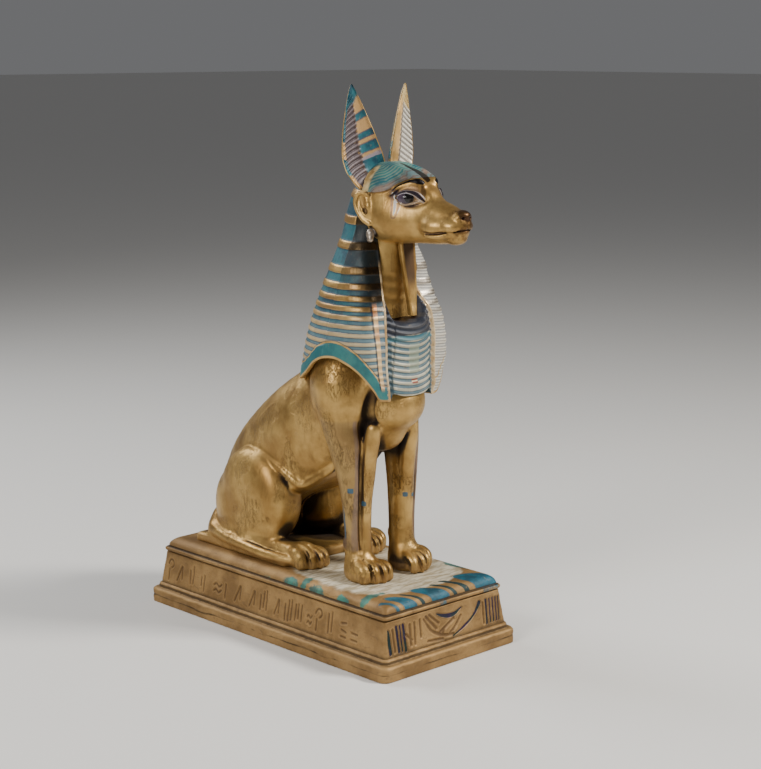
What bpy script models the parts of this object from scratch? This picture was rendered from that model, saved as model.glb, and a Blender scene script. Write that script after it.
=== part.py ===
"""A seated guardian jackal wearing a striped head cloth, carved in one piece with its ground slab,
on a separate stepped plinth with a cushioned top.

The figure looks towards -Y, its right side is towards -X, and the plinth stands on the ground
plane with its underside at height zero. Metres, +Z up.
"""
import bmesh
import bpy
import math
import numpy as np
from mathutils import Matrix, Vector

# Overall dimensions of the object, in metres.
TOTAL_HEIGHT = 0.598
PLINTH_WIDTH = 0.200
PLINTH_LENGTH = 0.397
PLINTH_HEIGHT = 0.076
CONTACT_GAP = 0.0003

# Plinth profile, bottom to top.
SLAB_HEIGHT = 0.0167
SLAB_CORNER = 0.010
WALL_TOP = 0.0585
WALL_INSET_LOW = 0.0090
WALL_INSET_HIGH = 0.0140
MOULDING_TOP = 0.0655
CUSHION_RADIUS = 0.0105

# The figure's pose is kept as shares of its own height: one unit is a 522nd of that height.
FIGURE_HEIGHT = TOTAL_HEIGHT - PLINTH_HEIGHT
FIGURE_SHARES = 522.0
UNIT = FIGURE_HEIGHT / FIGURE_SHARES

# Plinth details: groove above the wall, round moulding, cushion, in metres.
GROOVE_DEPTH = 0.0014
GROOVE_LOW = 0.0007
GROOVE_HIGH = 0.0018
MOULDING_INSET = 0.0010
MOULDING_SWELL = 0.0022
CUSHION_INSET = 0.0012
CUSHION_SPREAD = 1.2
MOULDING_STEPS = 6
CUSHION_STEPS = 7
CORNER_STEPS = 7

# Places on the figure, in figure units: middle of each leg and paw, cloth and ears.
LEG_X = 32.5
FORE_TOE_ROOT = -108.0
FORE_TOE_REACH = 20.5
FORE_TOE_RADIUS = 6.9
HIND_X = 46.0
HIND_TOE_ROOT = -22.0
HIND_TOE_REACH = 22.0
HIND_TOE_RADIUS = 6.7
TOE_SPREAD = 13.0
TOE_SHARES = (-1.0, -0.35, 0.35, 1.0)
TOE_SETBACK = 7.0
CLOTH_CROWN = 432.0
CLOTH_INNER_HEIGHT = 224.0
THROAT_DEPTH = 26.0
EAR_TURN = 25.0
EAR_LIP = 1.2

# Fineness of the round forms and of the fused skin.
BALL_SEGMENTS = 32
BALL_RINGS = 20
END_SEGMENTS = 20
END_RINGS = 14
LIMB_STEPS = 8
LIMB_ROUNDNESS = 12
BEVEL_SEGMENTS = 4
EAR_POINTS = 24
CLOTH_ROWS = 34
RING_STEPS = 56
VOXEL = 2.1 * UNIT
SOFTENING = 0.5
SOFTENING_PASSES = 5
CRISP_ABOVE = 430.0
FIGURE_TRIANGLES = 8600
LIMB_MERGE = 0.00002
PLINTH_MERGE = 0.00001
CUT_DEPTH = 0.1
CUT_REACH = 0.5

# Plain finishes: colour, roughness, metallic.
FIGURE_FINISH = ((0.60, 0.42, 0.20), 0.42, 0.35)
PLINTH_FINISH = ((0.42, 0.29, 0.13), 0.55, 0.25)
COLLECTION = "seated_jackal"


def clear_scene():
    """Take away every object and mesh left in the file."""
    for obj in list(bpy.data.objects):
        bpy.data.objects.remove(obj, do_unlink=True)
    for mesh in list(bpy.data.meshes):
        bpy.data.meshes.remove(mesh)


def make_collection(name):
    """Make a collection and hang it under the scene."""
    coll = bpy.data.collections.new(name)
    bpy.context.scene.collection.children.link(coll)
    return coll


def make_material(name, colour, rough, metal):
    """A plain finish with one colour, a roughness and a metallic value."""
    mat = bpy.data.materials.new(name)
    mat.use_nodes = True
    shader = mat.node_tree.nodes["Principled BSDF"]
    shader.inputs["Base Color"].default_value = (colour[0], colour[1], colour[2], 1.0)
    shader.inputs["Roughness"].default_value = rough
    shader.inputs["Metallic"].default_value = metal
    mat.diffuse_color = (colour[0], colour[1], colour[2], 1.0)
    return mat


def object_from(name, verts, faces, coll):
    """Wrap points and faces as a mesh object in the collection."""
    mesh = bpy.data.meshes.new(name)
    mesh.from_pydata([tuple(v) for v in verts], [], faces)
    mesh.update()
    obj = bpy.data.objects.new(name, mesh)
    coll.objects.link(obj)
    return obj


def loft_faces(rings, steps):
    """Quads between successive rings, closed by an n-gon at either end."""
    faces = []
    for r in range(rings - 1):
        for s in range(steps):
            a = r * steps + s
            b = r * steps + (s + 1) % steps
            faces.append((a, b, b + steps, a + steps))
    faces.append(tuple(range(steps - 1, -1, -1)))
    faces.append(tuple(range((rings - 1) * steps, rings * steps)))
    return faces


def loft(name, rings, coll):
    """Skin a list of equal rings of points into one closed body."""
    steps = len(rings[0])
    verts = [point for ring in rings for point in ring]
    return object_from(name, verts, loft_faces(len(rings), steps), coll)


def figure_point(x, y, z):
    """Turn figure units into metres, standing on the plinth."""
    return Vector((x * UNIT, y * UNIT, z * UNIT + PLINTH_HEIGHT))


def ball(coll, centre, radii, lean=0.0, turn=0.0):
    """An ellipsoid from a scaled round primitive, leant about X and turned about Z."""
    bm = bmesh.new()
    bmesh.ops.create_uvsphere(bm, u_segments=BALL_SEGMENTS, v_segments=BALL_RINGS, radius=1.0)
    place = Matrix.Translation(figure_point(centre[0], centre[1], centre[2]))
    place = place @ Matrix.Rotation(math.radians(turn), 4, "Z")
    place = place @ Matrix.Rotation(math.radians(lean), 4, "X")
    place = place @ Matrix.Diagonal((radii[0] * UNIT, radii[1] * UNIT, radii[2] * UNIT, 1.0))
    bm.transform(place)
    mesh = bpy.data.meshes.new("ball")
    bm.to_mesh(mesh)
    bm.free()
    obj = bpy.data.objects.new("ball", mesh)
    coll.objects.link(obj)
    return obj


def block(coll, centre, half, corner):
    """A box with rounded edges."""
    bm = bmesh.new()
    bmesh.ops.create_cube(bm, size=2.0)
    place = Matrix.Translation(figure_point(centre[0], centre[1], centre[2]))
    place = place @ Matrix.Diagonal((half[0] * UNIT, half[1] * UNIT, half[2] * UNIT, 1.0))
    bm.transform(place)
    bmesh.ops.bevel(bm, geom=bm.edges[:], offset=corner * UNIT, segments=BEVEL_SEGMENTS,
                    profile=0.5, affect="EDGES")
    mesh = bpy.data.meshes.new("block")
    bm.to_mesh(mesh)
    bm.free()
    obj = bpy.data.objects.new("block", mesh)
    coll.objects.link(obj)
    return obj


def limb(coll, points, flat_x=1.0, flat_y=1.0):
    """A bevelled curve whose radius follows its points, with round ends, squashed if asked."""
    curve = bpy.data.curves.new("limb", "CURVE")
    curve.dimensions = "3D"
    curve.resolution_u = LIMB_STEPS
    curve.bevel_depth = UNIT
    curve.bevel_resolution = LIMB_ROUNDNESS
    curve.use_fill_caps = True
    spline = curve.splines.new("BEZIER")
    spline.bezier_points.add(len(points) - 1)
    for knot, point in zip(spline.bezier_points, points):
        knot.co = figure_point(point[0], point[1], point[2])
        knot.radius = point[3]
        knot.handle_left_type = "AUTO"
        knot.handle_right_type = "AUTO"
    holder = bpy.data.objects.new("limb_curve", curve)
    coll.objects.link(holder)
    bpy.context.view_layer.update()
    graph = bpy.context.evaluated_depsgraph_get()
    mesh = bpy.data.meshes.new_from_object(holder.evaluated_get(graph))
    bpy.data.objects.remove(holder, do_unlink=True)
    bm = bmesh.new()
    bm.from_mesh(mesh)
    for end in (points[0], points[-1]):
        place = Matrix.Translation(figure_point(end[0], end[1], end[2]))
        place = place @ Matrix.Scale(end[3] * UNIT, 4)
        bmesh.ops.create_uvsphere(bm, u_segments=END_SEGMENTS, v_segments=END_RINGS, radius=1.0,
                                  matrix=place)
    bmesh.ops.remove_doubles(bm, verts=bm.verts[:], dist=LIMB_MERGE)
    mid = [0.5 * (min(p[k] for p in points) + max(p[k] for p in points)) for k in range(3)]
    centre = figure_point(mid[0], mid[1], mid[2])
    squash = Matrix.Translation(centre) @ Matrix.Diagonal((flat_x, flat_y, 1.0, 1.0))
    bm.transform(squash @ Matrix.Translation(-centre))
    bm.to_mesh(mesh)
    bm.free()
    obj = bpy.data.objects.new("limb", mesh)
    coll.objects.link(obj)
    return obj


def both_sides(make, coll, first, *rest, **named):
    """Make a form on the left side and its mirror image on the right."""
    if isinstance(first, tuple):
        flipped = (-first[0],) + tuple(first[1:])
    else:
        flipped = [(-p[0],) + tuple(p[1:]) for p in first]
    return [make(coll, first, *rest, **named), make(coll, flipped, *rest, **named)]


def trunk_forms(coll):
    """The leaning barrel of the body, its flanks, the breast and the neck."""
    forms = []
    spine = [(0, 106, 40, 52), (0, 103, 64, 54), (0, 86, 91, 56), (0, 58, 115, 59), (0, 23, 140, 61),
             (0, -14, 165, 59), (0, -46, 190, 54), (0, -70, 212, 49)]
    forms.append(limb(coll, spine, flat_x=0.88))
    forms += both_sides(ball, coll, (27, 4, 112), (18, 52, 28), lean=-42.0)
    forms += both_sides(ball, coll, (24, -40, 146), (18, 36, 26), lean=-42.0)
    forms.append(ball(coll, (0, -76, 196), (45, 48, 44), lean=-10.0))
    forms.append(ball(coll, (0, -100, 196), (38, 45, 37), lean=10.0))
    neck = [(0, -54, 205, 46), (0, -72, 256, 48), (0, -86, 300, 38), (0, -94, 334, 27),
            (0, -97, 362, 26)]
    forms.append(limb(coll, neck))
    return forms


def toe_forms(coll, x, y, reach, radius):
    """Four toes side by side, curling down in front of a paw, on both sides."""
    forms = []
    for share in TOE_SHARES:
        across = x + TOE_SPREAD * share
        front = y - reach + TOE_SETBACK * abs(share) ** 2
        toe = [(x + TOE_SPREAD * share * 0.75, y, radius * 2.3, radius * 0.94),
               (across, front + 8, radius * 2.1, radius),
               (across, front, radius * 1.2, radius * 0.97),
               (across, front + 1, radius * 0.3, radius * 0.86)]
        forms += both_sides(limb, coll, toe)
    return forms


def foreleg_forms(coll):
    """Shoulder, upper arm, straight foreleg and the four-toed paw, on both sides."""
    forms = []
    forms += both_sides(ball, coll, (43, -64, 206), (22, 32, 47), lean=-8.0)
    leg = [(43, -70, 208, 25), (40, -76, 172, 24), (37, -81, 138, 20.5), (34, -85, 98, 16.8),
           (33, -86, 60, 14.8), (LEG_X, -87, 30, 14.4), (LEG_X, -88, 8, 15.5)]
    forms += both_sides(limb, coll, leg)
    forms += both_sides(ball, coll, (LEG_X, -101, 7), (18.5, 26, 17))
    forms += both_sides(block, coll, (LEG_X, -103, 0), (17, 25, 7), 4.0)
    forms += toe_forms(coll, LEG_X, FORE_TOE_ROOT, FORE_TOE_REACH, FORE_TOE_RADIUS)
    return forms


def hindquarter_forms(coll):
    """The folded thigh, the fold in front of it, the long hind foot and its toes."""
    forms = []
    forms += both_sides(ball, coll, (46, 65, 64), (24, 55, 57))
    forms += both_sides(ball, coll, (43, 88, 50), (26, 42, 48))
    forms += both_sides(ball, coll, (46, 84, 18), (24, 42, 22))
    fold = [(49, 52, 116, 5), (49.5, 26, 106, 5), (46.5, 6, 95, 4.6), (42, -7, 88.5, 4.2),
            (39, -24, 98, 4.4), (37, -42, 110, 5), (33, -62, 130, 6)]
    forms += both_sides(limb, coll, fold)
    web = [(44, 36, 86, 11), (45, 14, 84, 7.5), (41, -2, 92, 7)]
    forms += both_sides(limb, coll, web)
    shin = [(47, 18, 80, 7), (49, 22, 58, 8), (50, 30, 30, 9)]
    forms += both_sides(limb, coll, shin)
    foot = [(54, 120, 12, 12), (56, 66, 14, 13), (52, 14, 13.5, 12.5), (47, -12, 11, 13)]
    forms += both_sides(limb, coll, foot)
    forms += both_sides(ball, coll, (HIND_X, -19, 9), (18.5, 22, 15))
    forms += toe_forms(coll, HIND_X, HIND_TOE_ROOT, HIND_TOE_REACH, HIND_TOE_RADIUS)
    return forms


def tail_forms(coll):
    """The tail, laid along the right side of the ground slab."""
    tail = [(-4, 150, 34, 9.5), (-40, 149, 20, 9), (-62, 122, 14, 8), (-69, 80, 12, 7),
            (-71, 30, 11, 6.2), (-69, -14, 9.5, 5.2)]
    return [limb(coll, tail)]


def head_forms(coll):
    """Skull, cheeks, brows, muzzle, jaw, nose and the small ears below the tall ones."""
    forms = []
    forms.append(ball(coll, (0, -106, 400), (34, 41, 40)))
    forms += both_sides(ball, coll, (17, -122, 388), (17, 32, 25))
    forms.append(ball(coll, (0, -120, 380), (26, 40, 18)))
    forms.append(ball(coll, (0, -138, 412), (23, 35, 19), lean=14.0))
    snout = [(0, -134, 391, 28), (0, -160, 388.5, 23.5), (0, -184, 386, 19), (0, -201, 384, 14)]
    forms.append(limb(coll, snout, flat_x=0.92))
    jaw = [(0, -126, 375, 12), (0, -165, 373.5, 10.5), (0, -196, 374, 9)]
    forms.append(limb(coll, jaw, flat_x=1.45))
    forms.append(ball(coll, (0, -206, 392), (9, 8, 6.5)))
    forms += both_sides(ball, coll, (8, -196, 380), (8.5, 14, 8))
    brow = [(5, -163, 418, 5), (15, -155, 418.5, 4.2), (25, -144, 417, 3.8), (32, -131, 412, 3)]
    forms += both_sides(limb, coll, brow)
    forms += both_sides(ball, coll, (19.5, -139, 407), (10, 14, 8))
    forms += both_sides(ball, coll, (33.5, -94, 400), (5, 9, 13), lean=-14.0)
    forms += both_sides(ball, coll, (33, -100, 385), (4.5, 5, 6))
    crest = [(0, -112, 438, 5), (0, -140, 433, 5), (0, -160, 425, 5)]
    forms.append(limb(coll, crest, flat_x=1.6))
    return forms


def ear_form(coll, sign):
    """One tall ear: a leaf-shaped shell, round behind and hollowed in front."""
    base = Vector((27.0 * sign, -93.0, 416.0))
    tip = Vector((38.4 * sign, -84.3, FIGURE_SHARES + 0.6))
    rise = (tip - base).normalized()
    turn = math.radians(EAR_TURN)
    front = Vector((math.sin(turn) * sign, -math.cos(turn), 0.0))
    front = (front - rise * front.dot(rise)).normalized()
    side = rise.cross(front)
    length = (tip - base).length
    shares = [-0.12, 0.0, 0.1, 0.2, 0.32, 0.45, 0.58, 0.7, 0.8, 0.88, 0.95, 0.985, 1.0]
    known = [-0.12, 0.0, 0.12, 0.28, 0.45, 0.62, 0.78, 0.9, 1.0]
    width = [15.0, 19.0, 21.6, 21.8, 19.0, 14.4, 9.2, 5.2, 1.8]
    depth = [15.0, 13.0, 11.5, 10.0, 8.8, 7.4, 5.8, 4.2, 1.4]
    rings = []
    for share in shares:
        half = float(np.interp(share, known, width))
        thick = float(np.interp(share, known, depth))
        hollow = thick * float(np.interp(share, [-0.12, 0.03, 0.16, 0.8, 1.0],
                                         [-0.9, -0.5, 0.45, 0.3, 0.0]))
        ring = []
        for k in range(EAR_POINTS):
            angle = 2.0 * math.pi * k / EAR_POINTS
            across = math.cos(angle)
            lift = math.sin(angle)
            bow = -thick * abs(lift) if lift < 0.0 else -hollow * abs(lift) ** 1.5
            if 0.0 <= lift:
                bow += EAR_LIP * abs(lift) ** 0.2
            spot = base + rise * (share * length) + side * (across * half) + front * bow
            ring.append(figure_point(spot[0], spot[1], spot[2]))
        rings.append(ring)
    return loft("ear", rings, coll)


def hem_height(theta):
    """Height of the head cloth's lower edge round the body; nought degrees is straight ahead."""
    at = [0.0, 12.0, 24.0, 33.0, 39.0, 47.0, 55.0, 65.0, 78.0, 90.0, 101.0, 110.0, 128.0, 180.0]
    high = [204.0, 202.0, 199.0, 200.0, 210.0, 222.0, 232.0, 240.0, 244.0, 242.0, 235.0, 224.0,
            213.0, 205.0]
    return float(np.interp(theta, at, high))


def cloth_ring(height):
    """Centre and half widths of the head cloth at one height."""
    levels = [150.0, 190.0, 225.0, 260.0, 300.0, 335.0, 365.0, 395.0, 415.0, 432.0]
    centre = [-66.0, -68.0, -72.0, -77.0, -81.0, -84.0, -87.0, -92.0, -97.0, -100.0]
    wide = [76.0, 75.0, 73.0, 69.5, 60.0, 49.0, 40.0, 37.0, 34.0, 25.0]
    deep = [73.0, 73.0, 73.5, 72.0, 62.5, 51.5, 42.0, 40.0, 35.0, 25.0]
    return (float(np.interp(height, levels, centre)), float(np.interp(height, levels, wide)),
            float(np.interp(height, levels, deep)))


def throat_depth(theta, height):
    """How far the cloth's front is drawn back at the throat, where the neck shows between the falls."""
    across = float(np.interp(theta, [33.0, 39.0], [1.0, 0.0]))
    return THROAT_DEPTH * across * float(np.interp(height, [292.0, 308.0], [0.0, 1.0]))


def cloth_form(coll):
    """The bell of the head cloth, from its arched hem up to the crown, opened at the throat."""
    shares = np.linspace(0.0, 1.0, CLOTH_ROWS)
    rings = []
    inner = []
    for k in range(RING_STEPS):
        angle = 2.0 * math.pi * k / RING_STEPS
        x = 46.0 * math.sin(angle)
        y = -66.0 - 44.0 * math.cos(angle)
        inner.append(figure_point(x, y, CLOTH_INNER_HEIGHT))
    rings.append(inner)
    for share in shares:
        ring = []
        for k in range(RING_STEPS):
            angle = 2.0 * math.pi * k / RING_STEPS
            theta = abs(math.degrees(math.atan2(math.sin(angle), math.cos(angle))))
            low = hem_height(theta)
            height = low + (CLOTH_CROWN - low) * float(share)
            yc, a, b = cloth_ring(height)
            back = throat_depth(theta, height)
            ring.append(figure_point(a * math.sin(angle), yc - (b - back) * math.cos(angle), height))
        rings.append(ring)
    return loft("cloth", rings, coll)


def lappet_forms(coll):
    """The two front falls of the cloth, raised either side of the throat and the bib."""
    forms = []
    section = ((0.0, 1.4), (0.12, 2.6), (0.45, 2.8), (0.8, 1.4), (1.0, -0.6), (1.0, -9.0),
               (0.5, -9.0), (0.0, -9.0))
    for sign in (-1.0, 1.0):
        rings = []
        for height in (366.0, 352.0, 336.0, 318.0, 300.0, 280.0, 260.0, 240.0, 220.0, 209.0, 200.0):
            yc, a, b = cloth_ring(height)
            inner = float(np.interp(height, [200.0, 232.0, 264.0, 304.0, 334.0, 366.0],
                                    [31.0, 34.0, 35.5, 34.5, 31.0, 27.0]))
            outer = float(np.interp(height, [200.0, 222.0, 300.0, 366.0], [41.0, 56.0, 54.0, 36.0]))
            ring = []
            for across, out in section:
                x = inner + (outer - inner) * across
                angle = math.asin(min(0.98, x / a))
                wide = (a + out) * math.sin(angle)
                ring.append(figure_point(wide * sign, yc - (b + out) * math.cos(angle), height))
            rings.append(ring)
        forms.append(loft("lappet", rings, coll))
    return forms


def beard_forms(coll):
    """The narrow straight beard that hangs from the chin in front of the throat."""
    beard = [(0, -122, 356, 6), (0, -127, 334, 6), (0, -132, 308, 6.6), (0, -134, 290, 7.2)]
    return [limb(coll, beard, flat_x=1.15)]


def slab_forms(coll):
    """The low ground slab the haunches rest on."""
    return [block(coll, (0, 64, 2), (73, 88, 10), 5.0)]


def join_forms(forms, name, coll):
    """Put all forms into one mesh, outward faces, ready to be fused."""
    bm = bmesh.new()
    for form in forms:
        bm.from_mesh(form.data)
    bmesh.ops.triangulate(bm, faces=bm.faces[:])
    bmesh.ops.recalc_face_normals(bm, faces=bm.faces[:])
    mesh = bpy.data.meshes.new(name)
    bm.to_mesh(mesh)
    bm.free()
    for form in forms:
        bpy.data.objects.remove(form, do_unlink=True)
    obj = bpy.data.objects.new(name, mesh)
    coll.objects.link(obj)
    return obj


def apply_modifiers(obj):
    """Turn the evaluated shape into the object's own mesh."""
    bpy.context.view_layer.update()
    graph = bpy.context.evaluated_depsgraph_get()
    mesh = bpy.data.meshes.new_from_object(obj.evaluated_get(graph))
    obj.modifiers.clear()
    obj.data = mesh


def fuse(obj):
    """Voxel-fuse the overlapping forms into one skin and soften the joins."""
    remesh = obj.modifiers.new("fuse", "REMESH")
    remesh.mode = "VOXEL"
    remesh.voxel_size = VOXEL
    remesh.use_smooth_shade = True
    apply_modifiers(obj)
    group = obj.vertex_groups.new(name="soft")
    crisp = PLINTH_HEIGHT + CRISP_ABOVE * UNIT
    soft = [v.index for v in obj.data.vertices if v.co.z < crisp]
    group.add(soft, 1.0, "REPLACE")
    smooth = obj.modifiers.new("soften", "SMOOTH")
    smooth.factor = SOFTENING
    smooth.iterations = SOFTENING_PASSES
    smooth.vertex_group = "soft"
    apply_modifiers(obj)
    slim = obj.modifiers.new("slim", "DECIMATE")
    slim.ratio = FIGURE_TRIANGLES / max(1, sum(len(p.vertices) - 2 for p in obj.data.polygons))
    slim.use_collapse_triangulate = True
    apply_modifiers(obj)


def cut_flat(obj, cutters):
    """Cut the feet and slab off level, a hair above the plinth's top."""
    bm = bmesh.new()
    bmesh.ops.create_cube(bm, size=1.0)
    middle = PLINTH_HEIGHT + CONTACT_GAP - 0.5 * CUT_DEPTH
    size = Matrix.Diagonal((CUT_REACH, 2.0 * CUT_REACH, CUT_DEPTH, 1.0))
    bm.transform(Matrix.Translation((0.0, 0.0, middle)) @ size)
    mesh = bpy.data.meshes.new("floor_cut")
    bm.to_mesh(mesh)
    bm.free()
    cutter = bpy.data.objects.new("floor_cut", mesh)
    cutters.objects.link(cutter)
    cutter.hide_render = True
    cutter.display_type = "WIRE"
    cut = obj.modifiers.new("level", "BOOLEAN")
    cut.operation = "DIFFERENCE"
    cut.solver = "EXACT"
    cut.object = cutter
    apply_modifiers(obj)


def build_jackal(coll, cutters):
    """The whole carved figure as one closed body."""
    forms = []
    forms += trunk_forms(coll)
    forms += foreleg_forms(coll)
    forms += hindquarter_forms(coll)
    forms += tail_forms(coll)
    forms += head_forms(coll)
    forms += [ear_form(coll, -1.0), ear_form(coll, 1.0)]
    forms.append(cloth_form(coll))
    forms += lappet_forms(coll)
    forms += beard_forms(coll)
    forms += slab_forms(coll)
    obj = join_forms(forms, "jackal", coll)
    fuse(obj)
    cut_flat(obj, cutters)
    for poly in obj.data.polygons:
        poly.use_smooth = True
    obj.data.materials.clear()
    obj.data.materials.append(make_material("gilded_figure", *FIGURE_FINISH))
    return obj


def plinth_profile():
    """Inset from the slab's edge and height of each ring of the plinth, bottom to top."""
    rings = [(0.0015, 0.0), (0.0, 0.0015), (0.0, 0.0125), (0.0009, 0.0152), (0.0030, SLAB_HEIGHT),
             (0.0056, SLAB_HEIGHT + 0.0002), (0.0058, 0.0195), (0.0070, 0.0215),
             (WALL_INSET_LOW, 0.0225), (WALL_INSET_HIGH, WALL_TOP),
             (WALL_INSET_HIGH + GROOVE_DEPTH, WALL_TOP + GROOVE_LOW),
             (WALL_INSET_HIGH + GROOVE_DEPTH, WALL_TOP + GROOVE_HIGH)]
    middle = 0.5 * (WALL_TOP + GROOVE_HIGH + MOULDING_TOP)
    half = 0.5 * (MOULDING_TOP - WALL_TOP - GROOVE_HIGH)
    for k in range(MOULDING_STEPS):
        angle = math.pi * (k / (MOULDING_STEPS - 1.0) - 0.5)
        rings.append((WALL_INSET_HIGH + MOULDING_INSET - MOULDING_SWELL * math.cos(angle),
                      middle + half * math.sin(angle)))
    start = WALL_INSET_HIGH + CUSHION_INSET
    for k in range(CUSHION_STEPS):
        angle = 0.5 * math.pi * k / (CUSHION_STEPS - 1.0)
        rings.append((start + CUSHION_RADIUS * CUSHION_SPREAD * (1.0 - math.cos(angle)),
                      PLINTH_HEIGHT - CUSHION_RADIUS + CUSHION_RADIUS * math.sin(angle)))
    return rings


def rounded_ring(half_x, half_y, corner, height):
    """Points round a rectangle with rounded corners."""
    ring = []
    for cx, cy, start in ((1, 1, 0.0), (-1, 1, 90.0), (-1, -1, 180.0), (1, -1, 270.0)):
        for k in range(CORNER_STEPS):
            angle = math.radians(start + 90.0 * k / (CORNER_STEPS - 1.0))
            ring.append(Vector((cx * (half_x - corner) + corner * math.cos(angle),
                                cy * (half_y - corner) + corner * math.sin(angle), height)))
    return ring


def build_plinth(coll):
    """The stepped plinth: slab, battered wall, groove, round moulding and cushioned top."""
    rings = []
    for inset, height in plinth_profile():
        rings.append(rounded_ring(0.5 * PLINTH_WIDTH - inset, 0.5 * PLINTH_LENGTH - inset,
                                  SLAB_CORNER, height))
    obj = loft("plinth", rings, coll)
    bm = bmesh.new()
    bm.from_mesh(obj.data)
    bmesh.ops.remove_doubles(bm, verts=bm.verts[:], dist=PLINTH_MERGE)
    bmesh.ops.recalc_face_normals(bm, faces=bm.faces[:])
    bm.to_mesh(obj.data)
    bm.free()
    obj.data.materials.append(make_material("plinth_gold", *PLINTH_FINISH))
    return obj


def main():
    """Build the plinth and the figure on it."""
    clear_scene()
    coll = make_collection(COLLECTION)
    cutters = make_collection("cutters")
    build_plinth(coll)
    build_jackal(coll, cutters)


main()
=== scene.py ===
"""Looks of the seated jackal statue: the gilded figure, its striped head cloth and its painted plinth.

Every shape is worked out in millimetres, in the figure's own frame: x to its left, y backwards, z up
from the plinth's top. Pieces are put into metres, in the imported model's frame, when they are made.
"""

import logging
import math
from dataclasses import dataclass, field
from enum import Enum
from typing import Any, Sequence

import bpy
import numpy as np
from mathutils import Matrix, Vector

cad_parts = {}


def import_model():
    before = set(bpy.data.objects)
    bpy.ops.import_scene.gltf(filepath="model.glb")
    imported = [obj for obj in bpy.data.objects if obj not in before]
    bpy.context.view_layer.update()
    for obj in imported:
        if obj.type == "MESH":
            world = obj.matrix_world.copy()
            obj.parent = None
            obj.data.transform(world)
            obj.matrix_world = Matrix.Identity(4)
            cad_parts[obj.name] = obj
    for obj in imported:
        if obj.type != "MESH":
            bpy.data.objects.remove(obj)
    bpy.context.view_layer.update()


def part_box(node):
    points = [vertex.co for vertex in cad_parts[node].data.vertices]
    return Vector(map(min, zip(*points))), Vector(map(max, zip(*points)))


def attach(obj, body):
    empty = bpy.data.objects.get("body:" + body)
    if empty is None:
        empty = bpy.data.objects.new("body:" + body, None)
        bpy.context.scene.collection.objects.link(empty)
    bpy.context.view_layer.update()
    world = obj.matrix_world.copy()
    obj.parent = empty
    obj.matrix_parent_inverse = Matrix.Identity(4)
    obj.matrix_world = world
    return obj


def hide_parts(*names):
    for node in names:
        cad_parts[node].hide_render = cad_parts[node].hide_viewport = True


log = logging.getLogger("jackal")

Array = np.ndarray
MM = 0.001
BODY = "root"
FIGURE_NODE = "jackal"
PLINTH_NODE = "plinth"
PLINTH_TOP = 76.0
CONTACT_GAP = 0.3
NEAR_REACH = 9.0
WIDE_REACH = 26.0
FACE_REACH = 5.0
FAR = 9.0


class Slot(Enum):
    """The record's material slots."""

    FIGURE = "gilded_figure"
    PLINTH = "plinth_gold"


# Surfaces in space


def spread(values: Array, known: Sequence[float], wanted: Sequence[float]) -> Array:
    """Read a smooth curve through known pairs: straight runs softened by a cubic ease.

    Args:
        values: Where to read the curve.
        known: Rising positions of its points.
        wanted: Its value at each of them.

    Returns:
        The curve's value at each place. A point's slope is the mean of the straight runs beside it,
        held to three times the lesser one and to nought at a turn, so the curve never overshoots.
    """
    at = np.asarray(known, float)
    to = np.asarray(wanted, float)
    rise = np.diff(to) / np.diff(at)
    before = np.concatenate([rise[:1], rise])
    after = np.concatenate([rise, rise[-1:]])
    steep = np.minimum(np.abs(before), np.abs(after)) * 3.0
    slope = np.where(before * after > 0, np.clip(0.5 * (before + after), -steep, steep), 0.0)
    x = np.clip(values, at[0], at[-1])
    i = np.clip(np.searchsorted(at, x, side="right") - 1, 0, len(at) - 2)
    run = at[i + 1] - at[i]
    t = (x - at[i]) / run
    h00 = (1 + 2 * t) * (1 - t) ** 2
    h10 = t * (1 - t) ** 2
    h01 = t * t * (3 - 2 * t)
    h11 = t * t * (t - 1)
    return h00 * to[i] + h10 * run * slope[i] + h01 * to[i + 1] + h11 * run * slope[i + 1]


def ease(values: Array, low: float, high: float) -> Array:
    """Nought below low, one above high, and a smooth step between them."""
    t = np.clip((values - low) / (high - low), 0.0, 1.0)
    return t * t * (3 - 2 * t)


def turned(lean: float = 0.0, tilt: float = 0.0, spin: float = 0.0) -> Array:
    """Turn about X, then Y, then Z, in degrees, as a 3 by 3 matrix."""
    a, b, c = (math.radians(v) for v in (lean, tilt, spin))
    about_x = np.array([[1, 0, 0], [0, math.cos(a), -math.sin(a)], [0, math.sin(a), math.cos(a)]])
    about_y = np.array([[math.cos(b), 0, math.sin(b)], [0, 1, 0], [-math.sin(b), 0, math.cos(b)]])
    about_z = np.array([[math.cos(c), -math.sin(c), 0], [math.sin(c), math.cos(c), 0], [0, 0, 1]])
    return about_z @ about_y @ about_x


def through(points: Sequence[Sequence[float]], steps: int) -> Array:
    """A Catmull-Rom curve through the points, with every column carried along."""
    known = np.asarray(points, float)
    padded = np.vstack([2 * known[0] - known[1], known, 2 * known[-1] - known[-2]])
    t = np.linspace(0.0, 1.0, steps, endpoint=False)[None, :, None]
    a, b, c, d = (padded[k:len(known) - 1 + k][:, None, :] for k in range(4))
    curve = 0.5 * (2 * b + (c - a) * t + (2 * a - 5 * b + 4 * c - d) * t ** 2
                   + (3 * b - a - 3 * c + d) * t ** 3)
    return np.vstack([curve.reshape(-1, known.shape[1]), known[-1:]])


@dataclass
class Form:
    """A carved form, given by its distance function; it is mirrored over x unless one_sided."""

    soft: float = 6.0
    cuts: bool = False
    one_sided: bool = False

    def distance(self, p: Array) -> Array:
        """Signed distance from the form's surface, negative inside."""
        raise NotImplementedError

    def bounds(self) -> tuple[Array, Array]:
        """Lowest and highest corner of the region that the form changes."""
        raise NotImplementedError


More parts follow.
